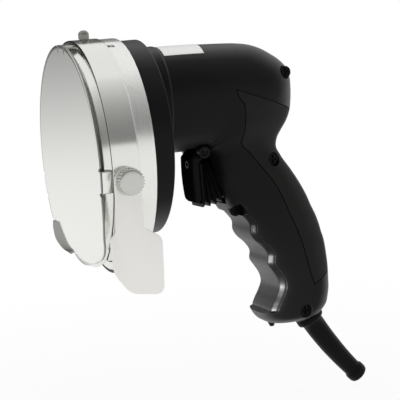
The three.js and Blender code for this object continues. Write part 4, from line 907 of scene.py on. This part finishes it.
along = np.linspace(0, 1, 97)
wave = (1 - np.cos(2 * np.pi * PLEATS * along)) / 2
angles = BOOT_FRONT + (BOOT_REAR - BOOT_FRONT) * along
skin = boot_wall(4.6, 25.6 - 2.2 * wave, 8.3 - 1.5 * wave, angles, 0.2)
lining = boot_wall(6.6, 21.6, 5.9, angles, 0.2)
skin[0, :, 0] = lining[0, :, 0] = PIVOT[0] - LEVER_BACK
boot = solid("trigger_boot_pleated", np.concatenate([skin, lining[::-1]]), wrap_rows=True, sharp=60)
placed(boot, None, "rubber", boot_rubber, "trigger_boot")
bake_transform(boot)

# %% [markdown]
# The cord's sleeve leaves the heel of the grip: a collar, a long taper that bends a little, and a bead. It
# is a profile of radius against length, carried along a gently curved path, with its bore as the way back.

# %% Cord sleeve
SLEEVE_LEN, SLEEVE_BEND = 42.6, 14.0
sleeve_rows = np.array([
    (-4.5, 4.2), (-4.3, 4.4), (0.7, 4.4), (0.9, 4.6), (0.9, 6.4), (1.2, 6.75), (3.2, 6.8), (3.7, 6.6),
    (4.1, 5.6), (4.6, 5.2), (8, 5.15), (12, 5.05), (16, 4.95), (20, 4.85), (24, 4.7), (28, 4.55), (32, 4.4),
    (36.8, 4.25), (37.4, 4.35), (37.9, 4.75), (38.5, 4.95), (41.0, 4.9), (42.0, 4.5), (42.5, 3.8),
    (42.6, 3.2), (36, 3.2), (30, 3.2), (24, 3.2), (18, 3.2), (12, 3.2), (6, 3.2), (-4.5, 3.2)])


def sleeve_surface(segments=72):
    """Rows of (length along the path, radius), each a circle square to the path, which turns evenly."""
    along, radius = sleeve_rows.T
    part = np.clip(along / SLEEVE_LEN, 0, 1)
    facing = np.radians(SLEEVE_TURN + SLEEVE_BEND * part)[:, None]
    chord = np.radians(SLEEVE_TURN + SLEEVE_BEND * part / 2)
    x, z = (HEEL[0] + along * np.cos(chord))[:, None], (HEEL[2] + along * np.sin(chord))[:, None]
    turn, radius = once_round(segments)[None], radius[:, None]
    return np.stack([x - radius * np.cos(turn) * np.sin(facing), radius * np.sin(turn),
                     z + radius * np.cos(turn) * np.cos(facing)], -1)


sleeve = solid("cord_sleeve_moulded", sleeve_surface(), wrap_rows=True, sharp=50)
placed(sleeve, "housing", "rubber", boot_rubber, "cord_sleeve")

# %% [markdown]
# The stage begins with a pale floor. A lit floor would turn grey towards its edges, so this one is made white
# to the camera and to polished metal; near the object it stays a little below white and takes the shadow.

# %% Floor
FLOOR_DROP, FLOOR_HALF = 0.002, 6


def seen_rays(tree):
    """One for rays from the camera, from polished surfaces and through glass, nothing for other rays."""
    path = add_node(tree, "LightPath").outputs
    seen = path["Is Camera Ray"]
    for ray in ("Is Glossy Ray", "Is Transmission Ray"):
        seen = add_node(tree, "Math", (), {0: seen, 1: path[ray]}, operation="MAXIMUM").outputs[0]
    return seen


def flat_card(name, corners, material):
    """One four-cornered face of the stage."""
    mesh = bpy.data.meshes.new(name)
    mesh.from_pydata(corners, [], [(0, 1, 2, 3)])
    mesh.materials.append(material)
    card = added(name, mesh)
    return card


floor_paint = bpy.data.materials.new("pale studio floor")
floor_paint.use_nodes = True
tree = floor_paint.node_tree
matt = tree.nodes["Principled BSDF"]
matt.inputs["Base Color"].default_value = linear("#f2f2f2")
matt.inputs["Roughness"].default_value = 0.9
matt.inputs["Specular IOR Level"].default_value = 0.1
ground = add_node(tree, "TexCoord")
away = add_node(tree, "VectorMath", (), {0: ground.outputs["Object"]}, operation="LENGTH")
fade = add_node(tree, "MapRange", {"From Min": 0.15, "From Max": 0.45, "To Min": 0.92, "To Max": 1.0},
                {"Value": away.outputs["Value"]})
white = add_node(tree, "Math", (), {0: fade.outputs["Result"], 1: seen_rays(tree)}, operation="MULTIPLY")
glow = add_node(tree, "Emission", {"Color": (1, 1, 1, 1), "Strength": 1.0})
both = add_node(tree, "MixShader", (), {0: white.outputs[0], 1: matt.outputs[0], 2: glow.outputs[0]})
tree.links.new(both.outputs[0], tree.nodes["Material Output"].inputs["Surface"])
floor_z = cad_box[0][2] - FLOOR_DROP
flat_card("floor", [(-FLOOR_HALF, -FLOOR_HALF, floor_z), (FLOOR_HALF, -FLOOR_HALF, floor_z),
                    (FLOOR_HALF, FLOOR_HALF, floor_z), (-FLOOR_HALF, FLOOR_HALF, floor_z)], floor_paint)
print("floor at", round(floor_z / MM, 1), "mm")

# %% [markdown]
# Round it all is an even white surround. It is white where it is seen and half as bright as a lamp, so that
# pale steel keeps its tones.

# %% Surround
world = bpy.data.worlds.new("white surround")
scene.world = world
world.use_nodes = True
tree = world.node_tree
level = add_node(tree, "MapRange", {"To Min": 0.5, "To Max": 1.0}, {"Value": seen_rays(tree)})
tree.links.new(level.outputs["Result"], tree.nodes["Background"].inputs["Strength"])
tree.nodes["Background"].inputs["Color"].default_value = (1, 1, 1, 1)
print("surround made")

# %% [markdown]
# Polished bands look like metal only when they have something darker to show. Two cards stand round the
# object and are seen only in polished surfaces: one behind and above the camera, which shades the ring and
# the gear case, and one on the far side, which shades the guide plate from dark above to white below.

# %% Cards
def panel(name, corners, stops):
    """A flat card that only shows in polished surfaces. Its stops are heights and brightnesses."""
    paint = bpy.data.materials.new(name)
    paint.use_nodes = True
    tree = paint.node_tree
    place = add_node(tree, "TexCoord")
    split = add_node(tree, "SeparateXYZ", (), {0: place.outputs["Object"]})
    height, level = np.array(stops).T
    share = add_node(tree, "MapRange", {"From Min": height[0], "From Max": height[-1]},
                     {"Value": split.outputs["Z"]})
    shade = add_node(tree, "ValToRGB", (), {0: share.outputs["Result"]})
    ramp = shade.color_ramp
    for where in (height[1:-1] - height[0]) / (height[-1] - height[0]):
        ramp.elements.new(where)
    for stop, value in zip(ramp.elements, level):
        stop.color = (value, value, value, 1)
    glow = add_node(tree, "Emission", {"Strength": 1.0}, {"Color": shade.outputs["Color"]})
    tree.links.new(glow.outputs[0], tree.nodes["Material Output"].inputs["Surface"])
    card = flat_card(name, corners, paint)
    card.visible_camera = card.visible_shadow = card.visible_diffuse = False
    print(name, "goes from", height[0], "to", height[-1], "m")


panel("front_card", [(-2, -1.1, 0.26), (2, -1.1, 0.26), (2, -0.2, 1.3), (-2, -0.2, 1.3)],
      [(0.26, 0.24), (0.53, 0.3), (0.74, 0.43), (0.92, 0.59), (1.1, 0.76), (1.3, 0.9)])
panel("left_card", [(-1.6, 1.0, -0.12), (0.5, 1.0, -0.12), (0.5, 1.0, 0.7), (-1.6, 1.0, 0.7)],
      [(-0.12, 1.0), (-0.075, 0.93), (-0.015, 0.66), (0.06, 0.38), (0.2, 0.12)])

# %% [markdown]
# One broad soft lamp hangs overhead and makes the shadow. A second, like a window on the left, only adds
# its highlight to the two housing halves: the finger grooves need it, and pale steel would clip under it.

# %% Lamps
def softbox(name, place, wide, tall, power):
    """A rectangular lamp that faces the object from a place in metres."""
    lamp = bpy.data.lights.new(name, "AREA")
    lamp.shape, lamp.size, lamp.size_y, lamp.energy = "RECTANGLE", wide, tall, power
    box = added(name, lamp)
    box.location = place
    box.rotation_euler = (Vector((0.05, 0, -0.03)) - Vector(place)).to_track_quat("-Z", "Y").to_euler()
    return box


softbox("overhead", (-0.1, -0.1, 0.95), 1.6, 1.4, 5.0).visible_glossy = False
window = softbox("left_window", (-1.1, -0.35, 0.05), 0.5, 0.36, 200.0)
window.visible_diffuse = False
window.light_linking.receiver_collection = bpy.data.collections.new("window light")
for made in (left, right):
    window.light_linking.receiver_collection.objects.link(made)
print("lamps made")

# %% [markdown]
# The camera stands where the photograph was taken: a little above the blade's axis, to the left and in
# front, with a slight tilt. It is far off with a long lens, so lines stay nearly parallel.

# %% Camera
azimuth, elevation, roll = np.radians([18.7, 6.0, -5.0])
AIM_RIGHT, AIM_UP, DISTANCE = 59.58, -18.12, 700
flat_back = np.array([-np.sin(azimuth), -np.cos(azimuth), 0])
back = np.cos(elevation) * flat_back + np.array([0, 0, np.sin(elevation)])
level_right = np.array([np.cos(azimuth), -np.sin(azimuth), 0])
level_up = np.cross(back, level_right)
right_way = np.cos(roll) * level_right + np.sin(roll) * level_up
up_way = -np.sin(roll) * level_right + np.cos(roll) * level_up
spot = (AIM_RIGHT * right_way + AIM_UP * up_way + DISTANCE * back) * MM
camera = added("camera", bpy.data.cameras.new("camera"))
camera.data.sensor_width, camera.data.lens = 36, 139.04
camera.data.clip_start, camera.data.clip_end = 0.01, 30
pose = np.column_stack([right_way, up_way, back, spot])
camera.matrix_world = Matrix(pose.tolist() + [[0, 0, 0, 1]])
scene.camera = camera
scene.view_settings.view_transform = "Standard"
print("camera at", (spot / MM).round(1), "mm")
